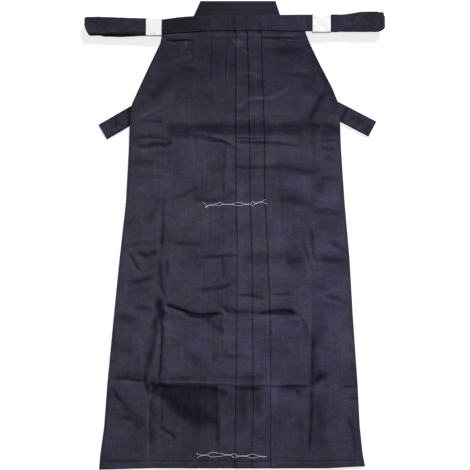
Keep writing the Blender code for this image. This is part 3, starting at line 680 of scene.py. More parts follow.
def front_rows_y(leg):
    """The y of each section: even steps, finer where a crisp crease runs across."""
    rows = [WAIST_Y]
    while rows[-1] > HEM_Y + FINE_ROW_STEP:
        y = rows[-1]
        fine = any(low < y <= high for high, low in FINE_ROWS)
        step = FINE_ROW_STEP if fine else ROW_STEP
        rows.append(y - (EDGE_ROW_STEP if EDGE_ROWS[1] < y <= EDGE_ROWS[0] else step))
    slit = (leg.slit_foot, leg.slit_foot - SLIT_RISE)
    rows = [y for y in rows[:-1] if all(abs(y - edge) > 1 for edge in slit)]
    return sorted(rows + [HEM_Y, *slit], reverse=True)


# Overall relief of the fronts
PUFF = 1.0                        # the cloth stands a little off the layers below
PUFF_SIDE = 26.0
PUFF_HEM = 26.0
BACK_TOP = 1.1
MACHI_TOP = 2.4
MACHI_REACH = (60.0, 40.0, -170.0)
SHADES_DOWN = named_rows(
    "y tone",
    (-510.0, 0.94), (-400.0, 0.98), (-320.0, 1.08), (-200.0, 1.16), (0.0, 1.03), (120.0, 0.92),
    (215.0, 0.88), (250.0, 0.78), (330.0, 0.56), (398.0, 0.48), (416.0, 0.53), (440.0, 0.53))
# Painted shade below the storage fold across the shins
SHADE_PATCH = (                    # its corners clockwise, and how soft the edge is from there
    (-188, -323, 7.0), (-33, -323, 6.0), (-33, -424, 20.0), (-104, -422, 15.0),
    (-164, -364, 10.0))
SHADE_PATCH_TONE = -0.56
HEM_DEPTH = 14.0                  # the hem is turned up this far
HEM_THICK = 0.35                  # and stands this much higher
HEM_DENT = 0.6                    # depth, painted shade and half width of the dent along its stitches
HEM_DENT_SHADE = 0.12
HEM_DENT_HALF = 1.6
RELIEF_STARTS = 27.0              # this far below the waist
LEAST_ROOM = 0.05
SOFT_BUMPS = (                    # size, height, seed, and how much longer they are in x
    (75.0, 0.9, 1.3, 1.0), (30.0, 0.52, 5.9, 1.0), (12.0, 0.15, 9.2, 1.0),
    (24.0, 0.42, 2.6, 2.6), (11.0, 0.17, 6.4, 2.6))

# Painted shade beside each pleat's edge: how much darker the cloth is there (below zero, how much
# painted light)
CREASE_SHADES = named_rows(
    "y right_inner right_outer left_inner left_middle left_outer",
    (-463.0, 0.35, 0.15, 0.5, -0.15, 0.0), (-402.0, 0.32, 0.13, 0.75, -0.2, -0.5),
    (-345.0, 0.3, 0.12, 0.7, 0.1, -0.45), (-310.0, 0.1, 0.06, 0.1, 0.1, -0.45),
    (-239.0, 0.1, 0.07, 0.2, 0.1, -0.2), (-210.0, 0.1, 0.08, 0.5, -0.1, 0.2),
    (-165.0, 0.1, 0.08, 0.15, -0.2, 0.0), (-123.0, 0.1, 0.08, 0.7, -0.4, -0.35),
    (-36.0, 0.1, 0.08, 0.7, -0.3, -0.1), (40.0, 0.1, 0.08, 0.1, -0.2, 0.0),
    (81.0, 0.1, 0.08, 0.45, 0.0, 0.1), (190.0, 0.1, 0.08, 0.75, -0.2, 0.0),
    (240.0, 0.1, 0.08, 0.0, -0.3, -0.3), (255.0, 0.1, 0.08, 0.1, -0.5, -0.35),
    (330.0, 0.1, 0.08, 0.1, -0.5, -0.4), (345.0, 0.5, 0.8, 0.0, -0.5, -0.4),
    (372.0, 0.9, 0.8, -0.4, -0.4, -0.45), (403.0, 0.8, 0.45, -0.3, -0.35, -0.5),
    (440.0, 0.1, 0.3, 0.0, -0.1, -0.3))
CREASE_HALF = 1.3
CREASE_INWARDS = 0.6


def inside_of(x, y, corners):
    """How far places are inside a convex patch, given clockwise: 0 outside, 1 well inside."""
    bent_x = x + 3 * uneven(x, y, 30.0, 11.0)
    bent_y = y + 8 * uneven(x, y, 22.0, 12.0)
    inside = np.ones(x.shape)
    for (x0, y0, soft), (x1, y1, _) in zip(corners, corners[1:] + corners[:1]):
        length = hypot(x1 - x0, y1 - y0)
        depth = ((y0 - bent_y) * (x1 - x0) + (bent_x - x0) * (y1 - y0)) / length
        inside *= ease(depth / soft)
    streaks = 0.4 * uneven(x * 2.2, y * 0.7, 16.0, 13.0) + 0.25 * uneven(x, y, 20.0, 14.5)
    return inside * (1 + streaks)


def crease_shade(leg, y, u):
    """Painted shade and light on the cloth beside a leg's pressed pleat edges."""
    shade = np.ones(u.shape)
    for name in leg.edges:
        edge = between(PLEATS, name, y) - CREASE_INWARDS
        shade -= between(CREASE_SHADES, name, y) * bump(u - edge, CREASE_HALF)
    return shade


def relief(x, y, room, side_room):
    """Height added to places of the front, and the tone there: painted light and shade with some
    dye wear.
    """
    rise, tone = folds_at(x, y)
    for size, height, seed, longer_in_x in SOFT_BUMPS:
        rise += height * uneven(x / longer_in_x, y, size, seed)
    above_hem = y - HEM_Y
    rise += PUFF * ease(above_hem / PUFF_HEM) + HEM_THICK * ease((HEM_DEPTH - above_hem) / 3)
    pucker = 1 + 0.6 * uneven(x, y, 9.0, 2.2)
    dent = pucker * bump(above_hem - HEM_DEPTH, HEM_DENT_HALF)
    rise -= HEM_DENT * dent
    # painted shade in the dent along the hem's stitches
    tone -= HEM_DENT_SHADE * dent
    rise *= ease(side_room / PUFF_SIDE) * ease((WAIST_Y - RELIEF_STARTS - y) / 5)
    sinks = -room * np.tanh(-np.minimum(rise, 0) / room)
    tone = 1 + tone * ease(side_room / 4)
    # painted shade over the patch below the shin fold
    tone *= 1 + SHADE_PATCH_TONE * inside_of(x, y, SHADE_PATCH)
    tone *= between(SHADES_DOWN, "tone", y)
    return np.where(rise < 0, sinks, rise), tone


def add_object(name, data):
    """A new object in the scene."""
    made = bpy.data.objects.new(name, data)
    bpy.context.scene.collection.objects.link(made)
    return made


def grid_faces(count, width, closed=True, caps=True, base=0):
    """Faces through rows of points that are numbered from base."""
    faces = []
    for row in range(base, base + (count - 1) * width, width):
        for step in range(width if closed else width - 1):
            beside = row + (step + 1) % width
            faces.append((row + step, beside, beside + width, row + step + width))
    if caps:
        last = base + (count - 1) * width
        faces.append(tuple(reversed(range(base, base + width))))
        faces.append(tuple(range(last, last + width)))
    return faces


def smooth_mesh(name, points, faces):
    """A smooth mesh through points in millimetres."""
    mesh = bpy.data.meshes.new(name)
    mesh.from_pydata((points.reshape(-1, 3) * MM).tolist(), [], faces)
    mesh.shade_smooth()
    return mesh


def grid_piece(name, points, closed=False, tone=None, caps=False):
    """A surface through rows of points, with a tone at each point: dye, wear and painted light and
    shade.
    """
    points = np.asarray(points, float)
    count, width = points.shape[:2]
    mesh = smooth_mesh(name, points, grid_faces(count, width, closed, caps))
    tones = mesh.attributes.new("tone", "FLOAT", "POINT")
    values = np.ones(count * width) if tone is None else np.asarray(tone, float).ravel()
    tones.data.foreach_set("value", values.astype(np.float32))
    return add_object(name, mesh)


def thicken(piece, thickness, offset=0.0):
    """Gives a surface the thickness of cloth."""
    wall = piece.modifiers.new("Wall", "SOLIDIFY")
    wall.thickness = thickness * MM
    wall.offset = offset
    wall.use_even_offset = False
    wall.use_quality_normals = True
    return piece


def settle(piece, finish, slot, *nodes):
    """A finished piece: its material, body and the solids that it stands for, which it hides. Its
    slot is not used.
    """
    piece.data.materials.append(finish)
    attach(piece, BODY)
    if nodes:
        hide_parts(*nodes)
    return piece


# Lines along a front's edges: how far in each lies, its half width and how its tone changes.
# Right under the band the cloth is painted lighter against the band's shadow, lower down a
# painted shade line follows the band, and by the side edge a darker line is seam and painted
# shade.
SEAM_AND_SHADE_LINE = (3.0, 3.4, -0.22)
PAINTED_LIGHT_UNDER_BAND = (0.6, 0.9, 2.2)
PAINTED_SHADE_UNDER_BAND = (2.7, 1.3, -0.16)


def make_front(leg):
    """A front panel with its pleats, folds and wrinkles."""
    rows = np.array(front_rows_y(leg))
    sections = np.array([front_section(leg, y) for y in rows])
    u, z = sections[:, :, 0], sections[:, :, 1]
    y = np.repeat(rows[:, None], u.shape[1], axis=1)
    x = leg.sign * u
    side = between(SIDES, leg.side, y)
    edges = pleat_edges(leg, y)
    depth = pleat_fall(edges)[1]
    stack = between(HEIGHTS, "pleat", y) - STACK + HALF
    half, high, low = MACHI_REACH
    over_machi = (np.abs(x) < half) & (y < high) & (y > low)
    floor = np.where(over_machi, MACHI_TOP, BACK_TOP) + SHELL / 2
    lowest = np.where(u < edges[-1] + depth + 2, stack, np.maximum(z, stack))
    room = np.maximum(lowest - floor, LEAST_ROOM)
    rise, tone = relief(x, y, room, side - u - HALF - TURN)
    tone *= crease_shade(leg, y, u)
    below_band = between(BAND_EDGES, "low", x) - y
    # painted light and painted shade under the band, and seam with painted shade by the side edge
    for inwards, (place, spread, change) in (
            (below_band, PAINTED_LIGHT_UNDER_BAND), (below_band, PAINTED_SHADE_UNDER_BAND), (side - u, SEAM_AND_SHADE_LINE)):
        tone *= 1 + change * bump(inwards - place, spread)
    points = np.stack((x, y - hem_drop(x, y), z + rise), axis=2)
    return thicken(grid_piece(leg.side + "_front_cloth", points, tone=tone), SHELL)


def band_profile():
    """Height of the band's outer wall along it, eased over the pleats below."""
    columns = [(x, front_height(x, WAIST_Y) + PITCH + GAP) for x in BAND_PLAIN]
    for leg in LEGS:
        for edge in pleat_edges(leg, WAIST_Y):
            ridge = leg.sign * (edge - HALF)
            valley = leg.sign * (edge - BAND_DIP)
            columns.append((ridge, HEIGHTS[-1].pleat + PITCH + GAP / 2))
            columns.append((valley, front_height(valley, WAIST_Y) + PITCH + GAP))
    return np.array(sorted(columns)).T


# How much the key light comes from above and along y, which the painted shade on folded edges
# evens out
LIGHT_UP = 0.45
LIGHT_ALONG = 0.84
TURNED_SHADE = 0.85                # a folded edge is painted a little darker, as shade
BAND_COLUMNS = 220
BAND_SOFT = 0.2                   # the band is this much softer than its pleats at most
BAND_EDGE = 2.6                   # its lower edge leans down over this width
BAND_ABOVE = 0.12                 # and ends this far above the front
BAND_FADE = 12.0                  # its unevenness fades over this length at its ends
# Painted light along the band's lower rim, against the shade at its edge
PAINTED_RIM_LIGHT = 1.0
BAND_WORN = 0.22
BAND_DENT = (3.2, 1.4, 0.2)       # above its lower edge: place, half width and depth
BAND_BUMPS = (                    # size, height, seed, and how much longer they are in y
    (20.0, 0.35, 4.4, 1.0), (8.0, 0.2, 1.4, 1.0), (4.5, 0.25, 6.6, 3.5))
# Marks across the band over the pleats: raised ones are painted lighter and pressed ones darker,
# as light and shade
BAND_MARKS = named_rows(
    "x half depth tone",
    (-55.7, 1.6, -0.2, -0.2), (-40.5, 1.5, 0.2, 0.35), (-14.4, 1.8, -0.4, -0.4),
    (72.6, 1.2, -0.4, -0.45), (77.9, 1.0, -0.3, -0.35), (101.0, 1.6, 0.15, 0.25))
BAND_TONES = named_rows(
    "x tone",
    (-158.2, 0.32), (-120.0, 0.36), (-80.0, 0.53), (-30.0, 0.73), (8.0, 0.8), (40.0, 0.88),
    (130.0, 1.2), (150.0, 1.15), (168.2, 0.7))


def turned_shade(turn):
    """Painted shade on a folded edge where it turns towards the key light, so that it keeps one
    tone from facing up (90) to facing away.
    """
    facing = LIGHT_UP * sin(radians(turn)) + LIGHT_ALONG * cos(radians(turn))
    return TURNED_SHADE * min(LIGHT_UP / max(facing, LIGHT_UP), 1.0)


def band_heights(xs):
    """Height of the band's outer wall at each of its columns."""
    places, heights = band_profile()
    after = np.clip(np.searchsorted(places, xs), 1, len(places) - 1)
    share = (xs - places[after - 1]) / (places[after] - places[after - 1])
    outer = heights[after - 1] + (heights[after] - heights[after - 1]) * ease(share)
    kernel = np.hanning(11) / np.hanning(11).sum()
    return np.maximum(np.convolve(np.pad(outer, 5, "edge"), kernel, "valid"), outer - BAND_SOFT)


def make_band():
    """The front band: a strip folded over the top edge of the pleated fronts."""
    xs = np.linspace(*BAND_ENDS, BAND_COLUMNS)
    seat = KOSHI_THICK + GAP + HALF
    rows = []
    tone = []
    for x, top, shade in zip(xs, band_heights(xs), between(BAND_TONES, "tone", xs)):
        low = between(BAND_EDGES, "low", x)
        free = ease((abs(x) - BAND_SEATED) / BAND_RISE)
        inner = seat + free * (front_height(x, WAIST_Y) - SLIT_HEM - GAP - HALF - seat)
        bend = (top - inner) / 2
        centre_y = between(BAND_EDGES, "high", x) - HALF - bend
        centre_z = (top + inner) / 2
        ys = np.linspace(low, centre_y, 17)[:-1]
        ends = min(ease((x - BAND_ENDS[0]) / BAND_FADE), ease((BAND_ENDS[1] - x) / BAND_FADE))
        marks = [(mark, bump(x - mark.x, mark.half)) for mark in BAND_MARKS]
        soft = sum(height * uneven(x, ys / longer_in_y, size, seed)
                   for size, height, seed, longer_in_y in BAND_BUMPS)
        place, half, depth = BAND_DENT
        press = ends * sum(mark.depth * near for mark, near in marks)
        press -= depth * bump(ys - low - place, half)
        # painted light and shade of the marks, and the band's uneven wear
        wear_and_shade = sum(mark.tone * near for mark, near in marks)
        wear_and_shade += BAND_WORN * uneven(x, ys / 3.0, 4.0, 2.2)
        by_edge = np.maximum(1 - (ys - low) / BAND_EDGE, 0.0) ** 2
        room = top - front_height(x, low) - SHELL - BAND_ABOVE
        lift = np.maximum((ends * soft + press) * (1 - by_edge) - by_edge * room, -room)
        row = [(x, y, z) for y, z in zip(ys, top + lift)]
        row += [(x, centre_y + bend * cos(radians(turn)), centre_z + bend * sin(radians(turn)))
                for turn in BAND_TURNS]
        row += [(x, y, inner) for y in np.linspace(centre_y, low + BAND_SHORT, 5)[1:]]
        rows.append(row)
        # painted light on the lower rim and painted shade on the folded top edge
        shades = [*((1 + PAINTED_RIM_LIGHT * by_edge) * (1 + wear_and_shade)), *map(turned_shade, BAND_TURNS)]
        tone.append([shade * part for part in shades + [1] * 4])
    return thicken(grid_piece("front_band_cloth", rows, tone=tone), SHELL)


BOARD_EDGES = named_rows("y left right", (KOSHI_FOOT, -108.7, 118.7), (479.9, -88.3, 99.0),
                         (510.2, -74.6, 89.2))
BOARD_TONES = named_rows(
    "x tone",
    (-100.0, 0.45), (-60.0, 0.6), (-25.0, 0.74), (10.0, 0.86), (70.0, 0.9), (110.0, 1.0))
BOARD_ROUND = 1.8
BOARD_RIM = 1.2                   # height of its sides


def make_board():
    """The koshi-ita: a stiff board under its cloth, with rounded edges."""
    top_y = BOARD_EDGES[-1].y
    rims = np.array((0.0, 0.3, 0.8, 1.4, BOARD_ROUND))
    rows = []
    tone = []
    for y in (*(top_y - rims), *np.linspace(top_y - 4, KOSHI_FOOT, 26)):
        slope = 3.0 / BOARD_ROUND * max(1 - (top_y - y) / BOARD_ROUND, 0.0)
        left, right = (between(BOARD_EDGES, side, y) for side in ("left", "right"))
        xs = np.concatenate((left + rims, np.linspace(left + 5, right - 5, 56),
                             right - rims[::-1]))
        from_edge = np.minimum(np.minimum(xs - left, right - xs), min(top_y - y, BOARD_ROUND))
        rounding = (1 - from_edge / BOARD_ROUND) ** 2
        soft = 0.12 * uneven(xs, y, 22.0, 8.1)
        heights = KOSHI_THICK - 0.15 - 1.5 * rounding + soft * (1 - rounding)
        row = [(left, y, BOARD_RIM), *((x, y, z) for x, z in zip(xs, heights)),
               (right, y, BOARD_RIM), (right - 1.0, y, 0.0), (left + 1.0, y, 0.0)]
        rows.append(row)
        # painted shade on the board's rounded top rim as it turns towards the light
        turn = turned_shade(90 - degrees(atan(slope)))
        tone.append([between(BOARD_TONES, "tone", x) * turn for x, _, _ in row])
    return grid_piece("koshi_ita_cloth", rows, closed=True, caps=True, tone=tone)


TAPE_SHARES = np.array((0.0, 0.025, 0.055, 0.09, 0.14, 0.2, 0.27, 0.34, 0.42, 0.5, 0.58, 0.66,
                        0.73, 0.8, 0.86, 0.91, 0.945, 0.975, 1.0))
RIM = 2.3                         # width of the painted shade along each edge of a tie
EDGE_SHADE = 0.4
CREASE_SHADE_AND_WEAR = 0.5


def tape(name, rungs, tone, loose, lean, tint):
    """A flat strip with rounded edges through rungs, each a left and a right end.
    It is wrinkled upwards by the given height where it lies loose, along lines that lean
    from upright by the given slope."""
    left, right = np.array(rungs, float).transpose(1, 0, 2)
    travel = np.gradient((left + right) / 2, axis=0)
    beam = right - left
    width = np.linalg.norm(beam, axis=1, keepdims=True)
    beam = beam / width
    normal = np.cross(travel, beam)
    normal *= SHELL / 2 / np.linalg.norm(normal, axis=1, keepdims=True)
    reach = SHELL / 2 + (width - SHELL) * TAPE_SHARES
    middle = left[:, None] + beam[:, None] * reach[:, :, None]
    points = np.concatenate((middle + normal[:, None], right[:, None],
                             (middle - normal[:, None])[:, ::-1], left[:, None]), axis=1)
    x, y = points[:, :, 0], points[:, :, 1]
    creases = uneven(x - lean * y, (y + lean * x) / 3.2, 4.5, 3.0)
    creases += 0.7 * uneven(x + 0.4 * y, y / 1.4, 5.0, 8.5)
    loose = np.asarray(loose)[:, None]
    points[:, :, 2] += loose * np.maximum(creases + 0.35, 0)
    across = np.concatenate((TAPE_SHARES, [1.0], TAPE_SHARES[::-1], [0.0]))
    # wrinkle crests painted lighter and hollows darker, as light and shade, with some wear
    tone = np.asarray(tone)[:, None] * (1 + CREASE_SHADE_AND_WEAR * creases * np.minimum(loose, 1))
    # painted shade along both edges
    tone = tone * (1 - EDGE_SHADE * bump(np.minimum(across, 1 - across) * width, RIM))
    tone = tone * tint(x, y, points[:, :, 2])
    return grid_piece(name, points, closed=True, tone=tone, caps=True)


LAYER_STEPS = 44
TIE_WAVE = 0.7
TIE_SWAY = 0.7
TIE_TWIST = 0.4
CORNER = 4.5
CORNER_CUT = 2.4
TOP_LAYER = TIE_TOP - 1.0         # what lies higher is the uppermost layer
TOP_TONE = 0.95
LOOSE_OVER = 30.0                 # the layers part over this length past the wrap
BY_WRAP = (2.5, 0.4)              # width and depth of the shade beside the wrap
TuckedEdge = namedtuple("TuckedEdge", "start end high depth")
TUCKED_EDGE = TuckedEdge(-286.0, -192.0, 443.5, 0.6)


def tucked_edge_shade(x, y, z):
    """Painted shade along the lower edge of the right front tie, where it looks turned under along
    part of its length.
    """
    run = ease((x - TUCKED_EDGE.start) / 18) * ease((TUCKED_EDGE.end + 4 - x) / 4)
    below = ease((TUCKED_EDGE.high - y + 1.5 * uneven(x, y, 14.0, 5.5)) / 4.5)
    return 1 - TUCKED_EDGE.depth * run * below * (z > TOP_LAYER - 2.5)


def plain_tone(*place):
    """No tint of its own."""
    return 1.0


def make_front_tie(tie):
    """A front tie folded to and fro, from the band's end down to its free end."""
    rungs = []
    tones = []
    slack = []
    for layer in range(FRONT_TIE_LAYERS):
        z = TIE_TOP - layer * PITCH
        outer = tie.folds[layer // 2]
        reach = outer.reach - HALF - BEND
        last = layer == FRONT_TIE_LAYERS - 1
        start = tie.start + HALF + BEND if layer else tie.start
        if last:
            start = tie.tail
        lean = TIE_LEAN * (reach - tie.wrap_end)
        back = layer % 2
        stops = np.linspace(start, reach, LAYER_STEPS)[::-1 if back else 1]
        turns = [(u, z) for u in stops]
        if not last:
            turns += turned(stops[-1], z - BEND, -1 if back else 1, TIE_TURNS)
        for u, height in turns:
            past_wrap = u - tie.wrap_end
            loose = ease(past_wrap / LOOSE_OVER)
            wave = loose * TIE_WAVE * uneven(u, 0, 26.0, 1.7 * tie.sign + 20)
            sway = loose * TIE_SWAY * uneven(u, 0, 22.0, 5.0 + 0.4 * layer)
            twist = loose * TIE_TWIST * uneven(u, 0, 12.0, 9.0 + tie.sign)
            middle = tie.middle - ease(past_wrap / lean) * outer.drop + sway
            near = CORNER
            if not last or u > start + 20:
                near = min(abs(reach + BEND - u), CORNER)
            half = STRAP / 2 - CORNER_CUT * (1 - near / CORNER) ** 2
            cut = tie.cut * (max(0.0, u - tie.corner) / (TIE_END - tie.corner)) ** 1.6
            rungs.append(((tie.sign * u, middle + half, height + wave + twist),
                          (tie.sign * u, middle - half + cut, height + wave - twist)))
            by_wrap = 1 - BY_WRAP[1] * bump(past_wrap, BY_WRAP[0])
            # lower layers painted darker, as shade under the top one
            tones.append((tie.under if layer else TOP_TONE) * by_wrap)
            slack.append(0.0 if layer else 1.5 * ease((past_wrap - 4) / 20))
    tint = tucked_edge_shade if tie.sign < 0 else plain_tone
    return tape(tie.name + "_cloth", rungs, tones, slack, tie.lean, tint)


WRAP_STEPS = 26
WRAP_SOFT = 0.5
WRAP_CREASE = 0.3
WRAP_PAPER = 0.5                  # thickness of the paper that is shown


def make_wrap(wrap):
    """A paper wrap: a loop round the folded tie, with a soft fold across it."""
    half = WRAP_HEIGHT / 2 - HALF - WRAP_ROUND
    low = HALF + WRAP_ROUND
    high = TIE_TOP + PITCH + WRAP_ROOM - WRAP_ROUND
    corners = ((half, high), (-half, high), (-half, low), (half, low))
    loop = []
    for quarter, ((y, z), (next_y, next_z)) in enumerate(zip(corners, corners[1:] + corners[:1])):
        for turn in range(0, 91, 15):
            angle = radians(90 * quarter + turn)
            loop.append((y + WRAP_ROUND * cos(angle), z + WRAP_ROUND * sin(angle)))
        y, z = loop[-1]
        next_y += WRAP_ROUND * cos(angle)
        next_z += WRAP_ROUND * sin(angle)
        steps = 14 if abs(next_y - y) > 1 else 4
        extend(loop, next_y, next_z, steps)
        loop.pop()
    y, z = np.array(loop).T
    crease_x = wrap.inner * 0.45 + wrap.outer * 0.55
    rows = []
    for x in np.linspace(wrap.inner, wrap.outer, WRAP_STEPS):
        soft = WRAP_SOFT * uneven(x, wrap.middle + y, 13.0, 3.3)
        soft -= WRAP_CREASE * bump(x - crease_x, 3.6)
        heights = z + ease((z - high) / 1.5) * soft
        rows.append(np.stack((np.full(y.shape, x), wrap.middle + y, heights), axis=1))
    return thicken(grid_piece(wrap.name + "_paper", rows, closed=True), WRAP_PAPER)


BACK_STEPS = 14
INSIDE_STEPS = 40
BACK_TONE = 0.59


def make_back_tie(tie):
    """A back tie: down from its root, folded over, out through the slit and back again."""
    out_x = tie.sign * cos(radians(tie.fall))
    out_y = -sin(radians(tie.fall))
    half = STRAP / 2
    run = (tie.tip_x - tie.root_x) / cos(radians(tie.fall))
    corner_y = tie.tip_y + run * sin(radians(tie.fall))
    root_x = tie.sign * tie.root_x
    length = hypot(out_x, out_y - 1)
    fold_x = out_x / length
    fold_y = (out_y - 1) / length
    along = half / abs(fold_x)
    lower = (root_x + along * fold_x, corner_y + along * fold_y)
    upper = (root_x - along * fold_x, corner_y - along * fold_y)

    def straight(before_tip, z):
        """The tie's two edges, some way before its tip."""
        x = tie.sign * tie.tip_x - before_tip * out_x
        y = tie.tip_y - before_tip * out_y
        shown = ease((56 - before_tip) / 20) * ease(before_tip / 8)
        sway = 0.5 * shown * uneven(before_tip, 0, 14.0, 2.0 + tie.sign)
        rise = 0.35 * shown * (1 + uneven(before_tip, 0, 11.0, 6.0 + tie.sign))
        side = (tie.sign * out_y * half, -tie.sign * out_x * half)
        return [(x + side[0], y + side[1] + sway, z + rise),
                (x - side[0], y - side[1] + sway, z + rise)]

    top_y = KOSHI_FOOT - GAP
    rows = []
    for share in np.linspace(0, 1, BACK_STEPS)[:-1]:
        start = ((root_x + tie.sign * half, top_y), (root_x - tie.sign * half, top_y))
        rows.append([(a[0] + (b[0] - a[0]) * share, a[1] + (b[1] - a[1]) * share, OVER_BACK)
                     for a, b in zip(start, (lower, upper))])
    for off, z in turned(0, OVER_BACK + BEND, 1, HIDDEN_TURNS):
        rows.append([(x + off * tie.sign * fold_y, y - off * tie.sign * fold_x, z)
                     for x, y in (lower, upper)])
    fine = []
    for (far, high), (near, low) in zip(BACK_TIE_RUN, BACK_TIE_RUN[1:]):
        steps = max(int((far - near) / 3), 1)
        fine += [(far + (near - far) * k / steps, high + (low - high) * ease(k / steps))
                 for k in range(steps)]
    tip, floor = BACK_TIE_RUN[-1]
    fine.append((tip, floor))
    going = [place for place in fine if place[0] <= BACK_TIE_RUN[1][0]]
    first = run - CREASE_ROOM
    for share in np.linspace(0, 1, INSIDE_STEPS)[:-1]:
        rows.append(straight(first + (going[0][0] - first) * share,
                             OVER_BACK + PITCH + (going[0][1] - OVER_BACK) * share))
    rows += [straight(before_tip, low + PITCH) for before_tip, low in going]
    rows += [straight(*place) for place in turned(tip, floor + BEND, -1, TIE_TURNS)]
    slack = []
    for (x, _, _), (other_x, _, _) in rows:
        reach = abs((x + other_x) / 2 - root_x) / (tie.tip_x - tie.root_x)
        slack.append(1.2 * ease((reach - 0.7) / 0.08))
    rows += [straight(*place) for place in reversed(fine)]
    slack += [0.0] * len(fine)

    # Painted shadow of the front's side edge on the tie beside the slit
    def painted_slit_shadow(x, y, _):
        past = tie.sign * x - tie.dark_x - tie.dark_slope * (y - tie.dark_y)
        return 1 - tie.dark_depth * bump(past, tie.dark_spread)

    tones = [BACK_TONE] * len(rows)
    return tape(tie.name + "_cloth", rows, tones, slack, -0.4 * tie.sign, painted_slit_shadow)


def make_back(leg):
    """A back panel, flat on the floor, inside the side seam and the slit of the front one."""
    inset = CLOTH + GAP
    top = KOSHI_FOOT - GAP
    foot = leg.slit_foot - SLIT_RISE
    rows = []
    for y in (top, *np.linspace(top - 12, foot, 24), *np.linspace(foot, HEM_Y, 120)[1:]):
        if y > foot:
            share = (top - y) / (top - foot)
            outer = leg.board + share * (between(SIDES, leg.side, foot) - inset - leg.board)
        else:
            outer = between(SIDES, leg.side, y) - inset
        share = (top - y) / (top - HEM_Y)
        inner = leg.sign * (CENTRE_TOP + (CENTRE_HEM - CENTRE_TOP) * share) + GAP / 2
        x = leg.sign * np.linspace(inner, outer, 30)
        rows.append(np.stack((x, y - hem_drop(x, y), np.zeros(30)), axis=1))
    back = grid_piece(leg.side + "_back_cloth", rows)
    return thicken(back, CLOTH, 1.0 if leg.sign < 0 else -1.0)


def make_machi():
    """The machi: a small four-cornered gusset between the legs."""
    (_, top), (reach, waist), (_, foot), _ = MACHI
    rows = []
    for y in np.linspace(top - 0.5, foot + 0.5, 48):
        end = top if y > waist else foot
        half = reach * (end - y) / (end - waist)
        rows.append([(half * share, y, PITCH + HALF) for share in np.linspace(-1, 1, 20)])
    return thicken(grid_piece("machi_cloth", rows), CLOTH)


class Ground:
    """The finished surfaces of some pieces, to lay stitches and threads on from above."""

    def __init__(self, *pieces):
        depsgraph = bpy.context.evaluated_depsgraph_get()
        self.trees = [BVHTree.FromObject(piece, depsgraph) for piece in pieces]

    def height(self, x, y):
        """Height in mm of the uppermost surface at (x, y), or None."""
        above = Vector((x * MM, y * MM, 0.1))
        hits = [tree.ray_cast(above, Vector((0, 0, -1)))[0] for tree in self.trees]
        return max((hit.z / MM for hit in hits if hit is not None), default=None)


def tube(path, radius, sides=6):
    """Rings of points round a path, with a radius at each of its points."""
    path = np.asarray(path, float)
    travel = np.gradient(path, axis=0)
    travel /= np.linalg.norm(travel, axis=1, keepdims=True)
    side = np.cross(travel, (0, 0, 1))
    side /= np.linalg.norm(side, axis=1, keepdims=True)
    up = np.cross(side, travel)
    turns = 2 * pi * np.arange(sides)[:, None] / sides
    return path[:, None] + radius[:, None, None] * (
        np.cos(turns) * side[:, None] + np.sin(turns) * up[:, None])


def join_tubes(name, tubes):
    """One mesh of several closed tubes."""
    points = np.empty((0, 3))
    faces = []
    for rings in tubes:
        faces += grid_faces(*rings.shape[:2], base=len(points))
        points = np.concatenate((points, rings.reshape(-1, 3)))
    return add_object(name, smooth_mesh(name, points, faces))


def spaced(line, step):
    """Places along a line through points, step apart, with the direction at each."""
    places = []
    left_over = 0.0
    for (x0, y0), (x1, y1) in zip(line, line[1:]):
        length = hypot(x1 - x0, y1 - y0)
        run = left_over
        while run < length:
            share = run / length
            places.append((x0 + (x1 - x0) * share, y0 + (y1 - y0) * share,
                           (x1 - x0) / length, (y1 - y0) / length))
            run += step
        left_over = run - length
    return places


STITCH_PITCH = 3.0
STITCH_LENGTH = 2.2
STITCH_RADIUS = 0.22
STITCH_SHARES = np.array((-0.5, -0.3, 0.0, 0.3, 0.5))
STITCH_TAPER = np.array((0.5, 0.9, 1.0, 0.9, 0.5))
SEAM_INSET = 2.0                  # stitches stay this far from the inseam,
SIDE_INSET = 3.0                  # from the side edge
SLIT_TURNED_IN = 7.0              # and, along a slit, from its edge
BAND_INSET = 2.5
BOARD_INSET = 3.5


def stitches(ground, lines):
    """Tubes for each stitch along some lines on the cloth."""
    made = []
    for line in lines:
        for x, y, dx, dy in spaced(line, STITCH_PITCH):
            path = []
            for share in STITCH_SHARES:
                a = x + dx * STITCH_LENGTH * share
                b = y + dy * STITCH_LENGTH * share
                z = ground.height(a, b)
                if z is None:
                    break
                path.append((a, b, z + STITCH_RADIUS * (0.9 - 4.4 * share ** 2)))
            if len(path) == len(STITCH_SHARES):
                made.append(tube(path, STITCH_TAPER * STITCH_RADIUS, 5))
    return made


def hem_lines():
    """Along the turned-up hem of both fronts."""
    y = HEM_Y + HEM_DEPTH
    for leg in LEGS:
        side = between(SIDES, leg.side, y) - SIDE_INSET
        xs = np.linspace(leg.sign * (leg.seam_x + SEAM_INSET), leg.sign * side, 60)
        yield [(x, y - hem_drop(x, y)) for x in xs]


def slit_lines():
    """Along the turned-in edges of both slits."""
    for leg in LEGS:
        ys = np.linspace(leg.slit_foot + 4, WAIST_Y - 28, 30)
        yield [(leg.sign * (between(SIDES, leg.side, y) - SLIT_TURNED_IN), y) for y in ys]


def band_lines():
    """Along the lower edge of the front band."""
    xs = np.linspace(BAND_ENDS[0] + 2, BAND_ENDS[1] - 2, 60)
    yield [(x, between(BAND_EDGES, "low", x) + BAND_INSET) for x in xs]


def board_lines():
    """Round the top and the two slanting edges of the board."""
    _, middle, top = BOARD_EDGES
    top_y = top.y - BOARD_INSET
    yield [(middle.left + SIDE_INSET, middle.y), (top.left + BOARD_INSET, top_y),
           (top.right - BOARD_INSET, top_y), (middle.right - SIDE_INSET, middle.y)]


